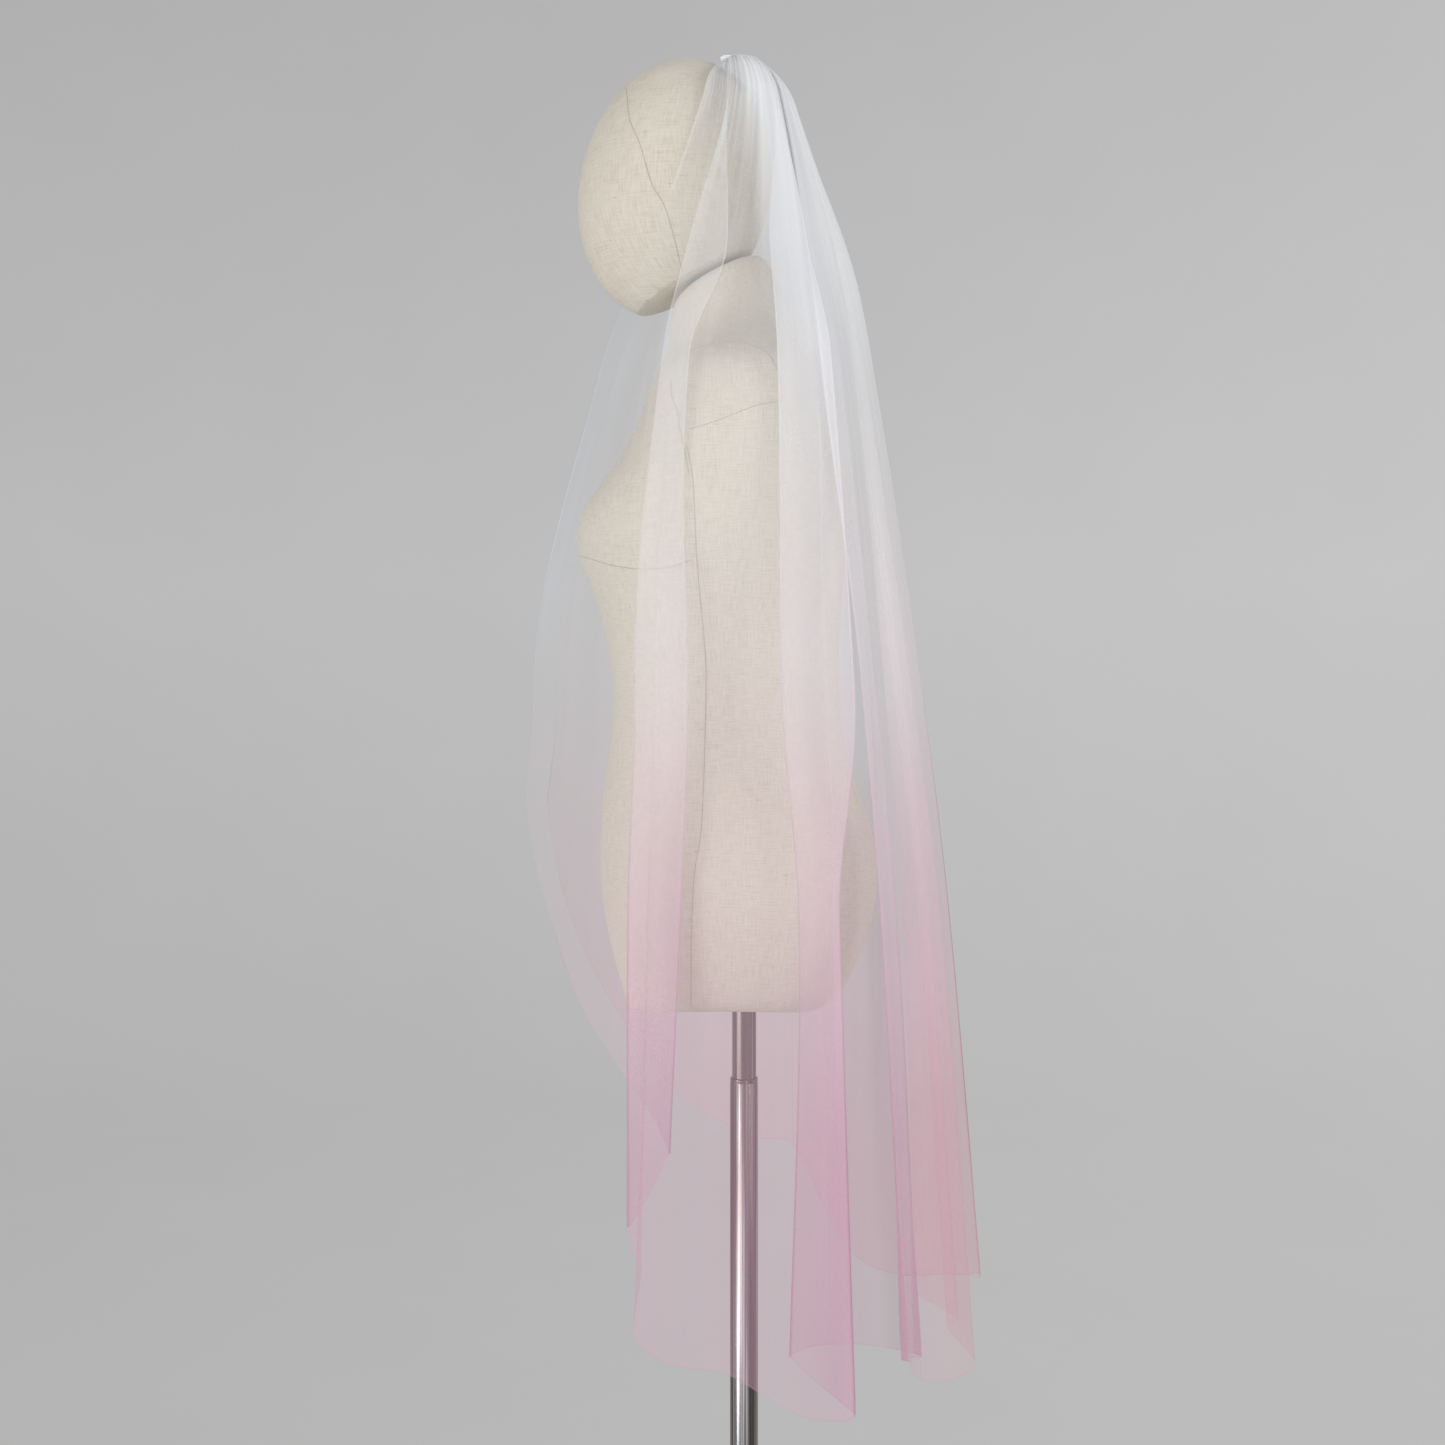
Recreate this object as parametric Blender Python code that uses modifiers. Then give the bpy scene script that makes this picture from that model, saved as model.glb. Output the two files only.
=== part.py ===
"""Bridal veil on a limbless dress form.

A single oval sheet of tulle is gathered along its top edge onto a hair comb. The comb sits on the
crown of an egg-shaped head, so the sheet falls over both shoulders and the back of the form in
long uneven folds. The form stands on a telescopic steel tube and a round plate.

Metres, +Z up. The form faces -Y and its left side is +X. The origin is the middle of the round
plate's underside, on the line of the tube.
"""

import bpy
import bmesh
from collections import namedtuple
from math import sin, cos, pi, radians
from mathutils import Matrix, Vector
from mathutils.bvhtree import BVHTree

MM = 0.001

# small clearances between pieces that touch
SEAT_GAP = 0.3

# veil cloth
CLOTH_WALL = 1.2
CLOTH_CLEAR = 3.2
FOLD_TIP = 2.6
HEADER_ROWS = 5

# comb and the gathered edge sewn to it
COMB_HALF_LENGTH = 38.0
COMB_TEETH = 12
COMB_SPINE = 8.0
COMB_TOOTH = 30.0
COMB_THICK = 1.4
COMB_LIFT = 0.5
COMB_ANGLE = 24.2
HEAD_REACH = 139.0
RUFFLE_HALF_LENGTH = 33.0
RUFFLE_WAVES = 9
RUFFLE_HEIGHT = 11.0
RUFFLE_WAVE = 3.2
HEADER_BACK = 6.0
HEADER_PUFF = 11.0
GATHER_WAVE = 0.3

# egg-shaped head
HEAD_CENTRE = (0.0, -69.0, 1582.0)
HEAD_RADII = (76.0, 95.0, 129.0)
HEAD_TILT = 13.0
NECK_SEAT_FRONT = (-71.0, 1476.0)
NECK_SEAT_BACK = (18.0, 1523.0)

# telescopic tube
UPPER_TUBE_RADIUS = 12.2
LOWER_TUBE_RADIUS = 14.0
TUBE_OVERLAP = 60.0
COLLAR_LEVEL = 695.0
BOARD_LEVEL = 785.0

# round foot
PLATE_RADIUS = 160.0
PLATE_THICK = 8.0
HUB_RADIUS = 22.0
HUB_HEIGHT = 30.0
TUBE_FOOT = 5.0

# cross-sections of the padded body, top to bottom, in millimetres; tilt is how much higher the
# back of a section is than its front, and lift is how much higher its two sides are
Section = namedtuple("Section", "level front back half_width tilt lift")
BODY_SECTIONS = [
    Section(1499.5, -71, 18, 47, 47, 0),
    Section(1473, -72, 29, 49, 46, 0),
    Section(1448, -75, 46, 57, 42, 0),
    Section(1426, -80, 62, 78, 32, 0),
    Section(1407, -86, 76, 108, 22, 0),
    Section(1391, -91, 86, 137, 13, 0),
    Section(1373, -96, 94, 154, 7, 0),
    Section(1345, -105, 100, 160, 2, 0),
    Section(1309, -121, 105, 160, 0, 0),
    Section(1281, -145, 107, 158, 0, 0),
    Section(1255, -163, 107, 156, 0, 0),
    Section(1232, -169, 105, 153, 0, 0),
    Section(1207, -164, 101, 148, 0, 0),
    Section(1177, -150, 98, 140, 0, 0),
    Section(1137, -137, 95, 128, 0, 0),
    Section(1087, -131, 94, 121, 0, 0),
    Section(1042, -132, 97, 125, 0, 0),
    Section(1002, -138, 107, 136, 0, 0),
    Section(970, -142, 119, 147, 0, 0),
    Section(930, -144, 132, 156, 0, 0),
    Section(892, -144, 134, 159, 0, 0),
    Section(857, -139, 129, 157, 0, 3),
    Section(817, -130, 114, 150, 0, 8),
    Section(785, -121, 98, 141, 0, 14),
    Section(770, -116, 80, 131, 0, 16),
    Section(766, -108, 62, 121, 0, 17),
    Section(785, -100, 54, 112, 0, 0),
]
BODY_POINTS = 28
BODY_SQUARENESS = 2.3

# the open oval on which the cloth hangs, seen from above, by height
Drape = namedtuple("Drape", "level front back side")
DRAPE_OVALS = [
    Drape(1650, 70, 57, 92),
    Drape(1490, 135, 113, 142),
    Drape(1380, 180, 133, 187),
    Drape(1080, 250, 178, 198),
    Drape(880, 250, 204, 210),
    Drape(460, 250, 240, 218),
]

# one row for each fold of the cloth, from the near front edge round the back to the far front
# edge. The angles (degrees, 0 at the front, 90 at the form's left, 180 at the back) say where the
# fold passes at the crown, neck, shoulder, waist, hip and hem. The reach is how far it stands out
# from the oval (millimetres) at shoulder, waist and hem, and hem is the height of its lower end.
Fold = namedtuple("Fold", "name crown neck shoulder waist hip end out_top out_mid out_end hem")
FOLDS = [
    Fold("left front edge", 54, 42, 37, 39, 36, 35, -12, 0, -2, 978),
    Fold("left round corner", 58, 48, 44, 44, 40, 39, -17, -3, -4, 914),
    Fold("left front", 62, 56, 53, 51, 48, 46, -22, -9, -11, 835),
    Fold("left front inner", 66, 62, 59, 57, 55, 52, -21, -13, -20, 781),
    Fold("front pleat under", 71, 65, 63, 64, 62, 61, -17, -18, -28, 732),
    Fold("front pleat back edge", 75, 81, 71, 76, 74, 71, -20, -25, -36, 667),
    Fold("front pleat front edge", 79, 67, 65, 66, 64, 63, -5, -9, -20, 604),
    Fold("front pleat middle", 83, 77, 71, 71, 70, 68, -7, -8, -12, 566),
    Fold("front pleat last ridge", 88, 76, 70, 69, 68, 65, 2, 4, 0, 517),
    Fold("side panel front", 94, 86, 80, 79, 78, 75, -3, -3, -3, 495),
    Fold("side panel middle", 101, 91, 88, 88, 87, 86, -2, -2, -1, 491),
    Fold("side panel back", 108, 100, 99, 98, 97, 98, 1, 2, 1, 461),
    Fold("side panel last", 114, 108, 109, 109, 106, 105, 7, 7, 0, 449),
    Fold("side pleat back edge", 118, 116, 120, 121, 112, 113, 12, 10, -5, 448),
    Fold("side pleat front edge", 121, 103, 104, 102, 105, 101, -13, -20, -29, 493),
    Fold("side pleat inner ridge", 125, 119, 120, 116, 116, 116, -5, -17, -24, 500),
    Fold("slot pleat outer", 129, 126, 129, 128, 128, 128, -4, -8, -8, 481),
    Fold("slot pleat inner", 133, 126, 128, 126, 126, 127, -14, -19, -19, 478),
    Fold("left back valley", 138, 133, 136, 135, 134, 133, -6, -7, -10, 459),
    Fold("left back", 145, 141, 143, 143, 142, 141, -5, -2, 0, 452),
    Fold("left back ridge", 152, 150, 152, 152, 152, 150, -5, -1, 5, 457),
    Fold("back valley one", 158, 155, 158, 157, 157, 157, -18, -24, -30, 474),
    Fold("back ridge two", 165, 162, 163, 163, 163, 163, -14, -18, -24, 477),
    Fold("back valley two", 173, 169, 170, 170, 171, 170, -22, -38, -66, 489),
    Fold("back rise", 180, 178, 179, 180, 181, 183, -15, -26, -46, 494),
    Fold("back middle ridge", 187, 185, 185, 187, 189, 190, 2, 4, 7, 482),
    Fold("right back valley", 198, 199, 197, 201, 205, 208, -4, -4, -2, 460),
    Fold("right back", 206, 211, 210, 214, 218, 221, -5, -6, -5, 445),
    Fold("right back ridge", 215, 223, 221, 224, 227, 236, 4, 10, -8, 451),
    Fold("right side back", 226, 235, 234, 239, 241, 245, -8, -12, -22, 511),
    Fold("right side ridge", 238, 249, 249, 252, 254, 255, -2, 2, -6, 570),
    Fold("right side", 254, 263, 265, 266, 265, 265, -6, -12, -22, 581),
    Fold("right side fold", 273, 279, 281, 280, 281, 282, -4, 0, -16, 613),
    Fold("right front inner", 288, 294, 295, 291, 294, 297, -10, -16, -26, 673),
    Fold("right front", 299, 307, 310, 306, 311, 314, -4, -2, -8, 788),
    Fold("right round corner", 307, 316, 321, 316, 321, 322, -9, -4, 2, 878),
    Fold("right front edge", 311, 322, 327, 322, 325, 326, -4, 4, 4, 962),
]

STATIONS = [1650.0, 1490.0, 1380.0, 1080.0, 880.0]
ROWS_BELOW = [4, 3, 5, 3, 5]


def clear_scene():
    for thing in list(bpy.data.objects):
        bpy.data.objects.remove(thing, do_unlink=True)


def make_material(name, colour, roughness, metallic=0.0, see_through=0.0):
    material = bpy.data.materials.new(name)
    material.use_nodes = True
    shader = material.node_tree.nodes["Principled BSDF"]
    shader.inputs["Base Color"].default_value = (*colour, 1.0)
    shader.inputs["Roughness"].default_value = roughness
    shader.inputs["Metallic"].default_value = metallic
    shader.inputs["Alpha"].default_value = 1.0 - see_through
    return material


def add_object(name, mesh, material, collection):
    thing = bpy.data.objects.new(name, mesh)
    mesh.materials.append(material)
    collection.objects.link(thing)
    return thing


def mesh_from(bm, name):
    mesh = bpy.data.meshes.new(name)
    bm.to_mesh(mesh)
    bm.free()
    return mesh


def between(a, b, t):
    return a + (b - a) * t


def smooth_through(keys, values, at):
    """Value at one place on a curve through the keys, with no overshoot (Fritsch-Carlson)."""
    count = len(keys)
    if at <= keys[0]:
        return values[0]
    if at >= keys[-1]:
        return values[-1]
    slopes = []
    for i in range(count - 1):
        slopes.append((values[i + 1] - values[i]) / (keys[i + 1] - keys[i]))
    tangents = [slopes[0]]
    for i in range(1, count - 1):
        product = slopes[i - 1] * slopes[i]
        tangents.append(2 * product / (slopes[i - 1] + slopes[i]) if product > 0 else 0.0)
    tangents.append(slopes[-1])
    i = max(k for k in range(count - 1) if keys[k] <= at)
    step = keys[i + 1] - keys[i]
    t = (at - keys[i]) / step
    near = (1 + 2 * t) * (1 - t) ** 2 * values[i] + t * t * (3 - 2 * t) * values[i + 1]
    return near + step * (t * (1 - t) ** 2 * tangents[i] - t * t * (1 - t) * tangents[i + 1])


def body_ring(section):
    """Points of one superellipse section of the padded body."""
    middle = (section.front + section.back) / 2
    half = (section.back - section.front) / 2
    power = 2 / BODY_SQUARENESS
    ring = []
    for i in range(BODY_POINTS):
        angle = 2 * pi * i / BODY_POINTS
        side = abs(sin(angle)) ** power * (1 if sin(angle) >= 0 else -1)
        forward = abs(cos(angle)) ** power * (1 if cos(angle) >= 0 else -1)
        x = section.half_width * side
        y = middle - half * forward
        z = section.level - section.tilt / 2 * forward + section.lift * side * side
        ring.append(Vector((x, y, z)) * MM)
    return ring


def loft(bm, rings, capped=True):
    """Joins rings of equal count, the first one on top, and closes both ends."""
    made = [[bm.verts.new(point) for point in ring] for ring in rings]
    count = len(rings[0])
    for upper, lower in zip(made, made[1:]):
        for i in range(count):
            j = (i + 1) % count
            bm.faces.new((upper[i], lower[i], lower[j], upper[j]))
    if capped:
        bm.faces.new(made[0])
        bm.faces.new(list(reversed(made[-1])))
    return made


def build_body(material, collection):
    bm = bmesh.new()
    loft(bm, [body_ring(section) for section in BODY_SECTIONS])
    bmesh.ops.recalc_face_normals(bm, faces=bm.faces)
    mesh = mesh_from(bm, "body_form")
    mesh.shade_smooth()
    return add_object("body_form", mesh, material, collection)


def build_head(material, collection):
    """An egg leaning forward, cut flat on the slanted top of the neck."""
    bm = bmesh.new()
    bmesh.ops.create_uvsphere(bm, u_segments=28, v_segments=18, radius=1.0)
    place = Matrix.Translation(Vector(HEAD_CENTRE) * MM)
    lean = Matrix.Rotation(radians(-HEAD_TILT), 4, "X")
    size = Matrix.Diagonal((*(Vector(HEAD_RADII) * MM), 1.0))
    bmesh.ops.transform(bm, matrix=place @ lean @ size, verts=bm.verts)
    front = Vector((0.0, *NECK_SEAT_FRONT)) * MM
    back = Vector((0.0, *NECK_SEAT_BACK)) * MM
    along = (back - front).normalized()
    up = Vector((0.0, -along.z, along.y))
    everything = list(bm.verts) + list(bm.edges) + list(bm.faces)
    cut = bmesh.ops.bisect_plane(
        bm,
        geom=everything,
        dist=1e-7,
        plane_co=front + up * SEAT_GAP * MM,
        plane_no=up,
        clear_inner=True,
    )
    rim = [part for part in cut["geom_cut"] if isinstance(part, bmesh.types.BMEdge)]
    bmesh.ops.edgeloop_fill(bm, edges=rim)
    bmesh.ops.recalc_face_normals(bm, faces=bm.faces)
    mesh = mesh_from(bm, "head_form")
    mesh.shade_smooth()
    return add_object("head_form", mesh, material, collection)


def build_turned(name, profile, material, collection, steps=32):
    """A turned piece from its outline (radius, height), which ends on the axis at both ends."""
    bm = bmesh.new()
    points = [bm.verts.new((radius * MM, 0.0, height * MM)) for radius, height in profile]
    for upper, lower in zip(points, points[1:]):
        bm.edges.new((upper, lower))
    mesh = mesh_from(bm, name)
    thing = add_object(name, mesh, material, collection)
    turn = thing.modifiers.new("turned", "SCREW")
    turn.steps = steps
    turn.render_steps = steps
    turn.use_merge_vertices = True
    turn.merge_threshold = 0.00002
    turn.use_smooth_shade = True
    return thing


def build_stand(steel, collection):
    top = BOARD_LEVEL - SEAT_GAP
    upper_foot = COLLAR_LEVEL - TUBE_OVERLAP
    radius = UPPER_TUBE_RADIUS
    build_turned(
        "upper_tube",
        [(0, top), (radius - 0.8, top), (radius, top - 0.8), (radius, upper_foot), (0, upper_foot)],
        steel,
        collection,
    )
    bore = UPPER_TUBE_RADIUS + SEAT_GAP
    seat = upper_foot - SEAT_GAP
    radius = LOWER_TUBE_RADIUS
    foot = TUBE_FOOT + SEAT_GAP
    build_turned(
        "lower_tube",
        [
            (0, seat),
            (bore, seat),
            (bore, COLLAR_LEVEL),
            (radius - 0.5, COLLAR_LEVEL),
            (radius, COLLAR_LEVEL - 0.5),
            (radius, foot),
            (0, foot),
        ],
        steel,
        collection,
    )
    socket = LOWER_TUBE_RADIUS + SEAT_GAP
    hub_top = PLATE_THICK + HUB_HEIGHT
    build_turned(
        "base_plate",
        [
            (0, TUBE_FOOT),
            (socket, TUBE_FOOT),
            (socket, hub_top),
            (HUB_RADIUS - 1.5, hub_top),
            (HUB_RADIUS, hub_top - 1.5),
            (HUB_RADIUS, PLATE_THICK + 3),
            (HUB_RADIUS + 3, PLATE_THICK),
            (PLATE_RADIUS - 2, PLATE_THICK),
            (PLATE_RADIUS, PLATE_THICK - 2),
            (PLATE_RADIUS, 0),
            (0, 0),
        ],
        steel,
        collection,
        steps=48,
    )


def tree_of(thing):
    bm = bmesh.new()
    bm.from_mesh(thing.data)
    bmesh.ops.triangulate(bm, faces=bm.faces)
    tree = BVHTree.FromBMesh(bm)
    bm.free()
    return tree


def pushed_out(point, tree, clear):
    """Moves a point out until it is the given distance clear of a closed body."""
    nearest, normal, _, distance = tree.find_nearest(point)
    if distance > 0.03:
        return point
    away = point - nearest
    height = away.length if away.dot(normal) > 0 else -away.length
    if height < clear:
        return nearest + normal * clear
    return point


def over_crown(head, x, back, lift):
    """A place above the head, the given arc behind the comb's middle, and the way up there."""
    angle = radians(COMB_ANGLE) + back / HEAD_REACH
    centre = Vector((x, HEAD_CENTRE[1], HEAD_CENTRE[2])) * MM
    way = Vector((0.0, sin(angle), cos(angle)))
    place, normal, _, _ = head.ray_cast(centre + way, -way)
    return place + normal * lift * MM, normal


def build_comb(head, material, collection):
    """A strip of flat comb whose teeth lie back over the crown, moulded to its curve."""
    columns = 2 * COMB_TEETH - 1
    steps = 5
    bm = bmesh.new()
    grid = {}
    width = 2 * COMB_HALF_LENGTH / columns
    for i in range(columns + 1):
        x = -COMB_HALF_LENGTH + i * width
        for j in range(steps + 1):
            back = -COMB_SPINE / 2 if j == 0 else COMB_SPINE / 2 + COMB_TOOTH * (j - 1) / (steps - 1)
            point, _ = over_crown(head, x, back, COMB_LIFT + COMB_THICK / 2)
            grid[i, j] = bm.verts.new(point)
    for i in range(columns):
        for j in range(steps):
            if j == 0 or i % 2 == 0:
                corners = (grid[i, j], grid[i + 1, j], grid[i + 1, j + 1], grid[i, j + 1])
                bm.faces.new(corners)
    loose = [vert for vert in bm.verts if not vert.link_faces]
    bmesh.ops.delete(bm, geom=loose, context="VERTS")
    thing = add_object("comb", mesh_from(bm, "comb"), material, collection)
    thicken(thing, COMB_THICK)
    return thing


def thicken(thing, wall):
    shell = thing.modifiers.new("wall", "SOLIDIFY")
    shell.thickness = wall * MM
    shell.offset = 0.0
    shell.use_rim = True
    shell.use_even_offset = False


def build_heading(head, material, collection):
    """The cut edge of the gathered tulle, which stands up above the comb as a short ruffle."""
    count = RUFFLE_WAVES * 6
    bm = bmesh.new()
    rows = []
    for i in range(count + 1):
        along = i / count
        x = between(RUFFLE_HALF_LENGTH, -RUFFLE_HALF_LENGTH, along)
        turn = 2 * pi * RUFFLE_WAVES * along + 0.7 * sin(2 * pi * 1.7 * along)
        wave = RUFFLE_WAVE * (0.8 + 0.2 * sin(5.0 * along + 1.0))
        foot_back = 0.55 * wave * sin(turn)
        lean = wave * sin(turn + 0.25) - 1.0 - foot_back
        foot, way = over_crown(head, x, foot_back, COMB_LIFT + COMB_THICK + 0.9)
        tall = RUFFLE_HEIGHT * (0.72 + 0.28 * sin(pi * (0.12 + 0.76 * along))) + 0.9 * sin(turn / 2)
        rise = (way + Vector((0.0, 0.0, 1.0))).normalized() * tall
        rise.y = rise.y * 0.5 + lean
        rows.append([bm.verts.new(foot + rise * part * MM) for part in (0.0, 0.5, 1.0)])
    for a, b in zip(rows, rows[1:]):
        for j in range(2):
            bm.faces.new((a[j], b[j], b[j + 1], a[j + 1]))
    thing = add_object("veil_heading", mesh_from(bm, "veil_heading"), material, collection)
    thicken(thing, 1.0)
    return thing


def oval_point(level, angle, reach):
    """A place on the drape oval at one height, moved out by the reach."""
    keys = [-oval.level for oval in DRAPE_OVALS]
    front = smooth_through(keys, [oval.front for oval in DRAPE_OVALS], -level)
    back = smooth_through(keys, [oval.back for oval in DRAPE_OVALS], -level)
    side = smooth_through(keys, [oval.side for oval in DRAPE_OVALS], -level)
    turn = radians(angle)
    deep = front if cos(turn) > 0 else back
    return Vector(((side + reach) * sin(turn), -(deep + reach) * cos(turn), level))


def fold_levels(fold):
    """Heights of a fold's rows from the crown down to its own hem."""
    stops = [level for level in STATIONS if level > fold.hem + 40]
    stops += [between(stops[-1], fold.hem, (k + 1) / (6 - len(stops))) for k in range(6 - len(stops))]
    levels = []
    for upper, lower, rows in zip(stops, stops[1:], ROWS_BELOW):
        levels += [between(upper, lower, k / rows) for k in range(rows)]
    return levels + [fold.hem]


def fold_line(fold, index, head):
    """One fold from the comb, over the crown and down to the hem."""
    keys = [-level for level in STATIONS if level > fold.hem + 40]
    angles = [fold.crown, fold.neck, fold.shoulder, fold.waist, fold.hip][: len(keys)]
    keys.append(-fold.hem)
    angles.append(fold.end)
    out_keys = [-1650.0, -1380.0, -1080.0, -min(fold.hem, 1040.0)]
    outs = [fold.out_top * 0.3, fold.out_top, fold.out_mid, fold.out_end]
    line = []
    for level in fold_levels(fold):
        angle = smooth_through(keys, angles, -level)
        reach = smooth_through(out_keys, outs, -level)
        line.append(oval_point(level, angle, reach))
    along = index / (len(FOLDS) - 1)
    x = between(COMB_HALF_LENGTH, -COMB_HALF_LENGTH, along)
    ripple = GATHER_WAVE * sin(pi * index / 2)
    start, _ = over_crown(head, x, HEADER_BACK, CLOTH_CLEAR + ripple)
    x, y, z = start / MM
    crown = line[0]
    sweep = radians(66)
    over = []
    for k in range(HEADER_ROWS):
        turn = sweep * k / HEADER_ROWS
        out = sin(turn) / sin(sweep)
        drop = (1 - cos(turn)) / (1 - cos(sweep))
        top = z + (HEADER_PUFF if k > 0 else 0.0)
        over.append(
            Vector((between(x, crown.x, out), between(y, crown.y, out), between(top, crown.z, drop)))
        )
    return [point * MM for point in over + line]


def curve_between(before, start, end, after, t):
    """Catmull-Rom point between two neighbouring folds."""
    return 0.5 * (
        2 * start
        + (end - before) * t
        + (2 * before - 5 * start + 4 * end - after) * t * t
        + (3 * start - 3 * end + after - before) * t**3
    )


def is_sharp(before, line, after):
    """True where the cloth doubles back on itself along most of a fold."""
    back = 0
    rows = range(HEADER_ROWS + 6, len(line))
    for row in rows:
        arriving = (line[row] - before[row]).to_2d()
        leaving = (after[row] - line[row]).to_2d()
        back += 1 if arriving.dot(leaving) < 0.35 * arriving.length * leaving.length else 0
    return back > len(rows) / 2


def fold_tip(before, line, after, side):
    """One side of a rounded fold: the fold's line moved across its tip."""
    tip = []
    for row, point in enumerate(line):
        arriving = (point - before[row]).to_2d().to_3d()
        leaving = (after[row] - point).to_2d().to_3d()
        across = (arriving.normalized() + leaving.normalized()).normalized()
        width = min(FOLD_TIP * MM / 2, arriving.length / 4, leaving.length / 4)
        tip.append(point + across * width * side)
    return tip


def veil_columns(lines):
    """The folds, the rounded tips of the sharp ones, and a column between each two."""
    last = len(lines) - 1
    columns = [lines[0]]
    for i in range(last):
        before = lines[max(i - 1, 0)]
        after = lines[min(i + 2, last)]
        rows = range(len(lines[i]))
        middle = [curve_between(before[r], lines[i][r], lines[i + 1][r], after[r], 0.5) for r in rows]
        columns.append(middle)
        if i + 1 < last and is_sharp(lines[i], lines[i + 1], lines[i + 2]):
            for side in (-1, 1):
                columns.append(fold_tip(lines[i], lines[i + 1], lines[i + 2], side))
        else:
            columns.append(lines[i + 1])
    return columns


def build_veil(head, body, material, collection):
    lines = [fold_line(fold, index, head) for index, fold in enumerate(FOLDS)]
    bm = bmesh.new()
    made = []
    for column in veil_columns(lines):
        kept = []
        for point in column:
            point = pushed_out(point, head, CLOTH_CLEAR * MM)
            point = pushed_out(point, body, CLOTH_CLEAR * MM)
            kept.append(bm.verts.new(point))
        made.append(kept)
    for a, b in zip(made, made[1:]):
        for j in range(len(a) - 1):
            bm.faces.new((a[j], a[j + 1], b[j + 1], b[j]))
    thing = add_object("veil_tulle", mesh_from(bm, "veil_tulle"), material, collection)
    thicken(thing, CLOTH_WALL)
    thing.data.shade_smooth()
    return thing


def main():
    clear_scene()
    collection = bpy.data.collections.new("bridal_veil")
    bpy.context.scene.collection.children.link(collection)
    linen = make_material("woven linen", (0.66, 0.60, 0.52), 0.9)
    steel = make_material("brushed steel", (0.62, 0.61, 0.60), 0.3, metallic=1.0)
    tulle = make_material("tulle", (0.80, 0.72, 0.76), 0.8, see_through=0.5)
    clear = make_material("clear acetate", (0.85, 0.85, 0.85), 0.2)
    body = build_body(linen, collection)
    head = build_head(linen, collection)
    build_stand(steel, collection)
    head_tree = tree_of(head)
    build_comb(head_tree, clear, collection)
    build_heading(head_tree, tulle, collection)
    build_veil(head_tree, tree_of(body), tulle, collection)


main()
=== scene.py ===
import bpy
import bmesh
from math import sin, cos, pi, radians, atan2, exp
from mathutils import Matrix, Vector
from mathutils.bvhtree import BVHTree


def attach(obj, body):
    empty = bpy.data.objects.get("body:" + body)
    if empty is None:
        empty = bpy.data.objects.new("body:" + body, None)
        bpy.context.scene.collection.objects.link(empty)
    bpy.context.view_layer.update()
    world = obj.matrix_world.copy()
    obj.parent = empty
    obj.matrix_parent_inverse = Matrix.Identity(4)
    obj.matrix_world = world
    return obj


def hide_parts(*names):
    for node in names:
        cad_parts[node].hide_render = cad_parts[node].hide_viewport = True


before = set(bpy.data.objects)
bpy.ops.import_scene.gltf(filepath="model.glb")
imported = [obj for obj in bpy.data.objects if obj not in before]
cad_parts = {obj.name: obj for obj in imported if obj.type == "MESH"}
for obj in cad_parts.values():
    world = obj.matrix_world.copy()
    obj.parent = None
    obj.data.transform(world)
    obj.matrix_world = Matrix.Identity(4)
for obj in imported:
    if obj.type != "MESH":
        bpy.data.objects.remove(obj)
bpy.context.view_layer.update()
mm = 0.001


# small helpers

def hexColor(text):
    # sRGB hex to the linear values that Blender mixes with
    parts = [int(text[i:i + 2], 16) / 255 for i in (0, 2, 4)]
    linear = [c / 12.92 if c <= 0.04045 else ((c + 0.055) / 1.055) ** 2.4 for c in parts]
    return (*linear, 1.0)


def addNode(tree, kind, inputs=None, **settings):
    # one shader node with its settings, its plain values and its links; a node that is given as a
    # value is linked by its first output
    node = tree.nodes.new("ShaderNode" + kind)
    for name, value in settings.items():
        setattr(node, name, value)
    for socket, value in (inputs or {}).items():
        if isinstance(value, bpy.types.Node):
            value = value.outputs[0]
        if isinstance(value, bpy.types.NodeSocket):
            tree.links.new(value, node.inputs[socket])
        else:
            node.inputs[socket].default_value = value
    return node


def newMaterial(name):
    material = bpy.data.materials.new(name)
    material.use_nodes = True
    tree = material.node_tree
    return material, tree, tree.nodes["Principled BSDF"]


def setStops(ramp, stops):
    # colour stops given as place and hex
    elements = ramp.color_ramp.elements
    while len(elements) < len(stops):
        elements.new(0.5)
    for element, (place, color) in zip(elements, stops):
        element.position = place
        element.color = hexColor(color)


def addObject(name, data):
    made = bpy.data.objects.new(name, data)
    bpy.context.scene.collection.objects.link(made)
    return made


def pieceFrom(name, points, faces, edges=()):
    mesh = bpy.data.meshes.new(name)
    mesh.from_pydata(points, edges, faces)
    mesh.update()
    return addObject(name, mesh)


def unroll(piece, flat):
    # gives each point its place on the flat cut, in metres
    layer = piece.data.uv_layers.new(name="cloth")
    for loop in piece.data.loops:
        layer.data[loop.index].uv = flat[loop.vertex_index]


def selectOnly(piece):
    bpy.ops.object.select_all(action="DESELECT")
    piece.select_set(True)
    bpy.context.view_layer.objects.active = piece


def faceOut():
    # turns every face outwards and leaves edit mode
    bpy.ops.mesh.select_all(action="SELECT")
    bpy.ops.mesh.normals_make_consistent(inside=False)
    bpy.ops.object.mode_set(mode="OBJECT")


def finishPiece(piece, material, replaced=None):
    piece.data.materials.clear()
    piece.data.materials.append(material)
    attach(piece, "root")
    if replaced:
        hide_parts(replaced)


def between(a, b, t):
    return a + (b - a) * t


def easeIn(t):
    t = min(1.0, max(0.0, t))
    return t * t * (3 - 2 * t)


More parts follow.
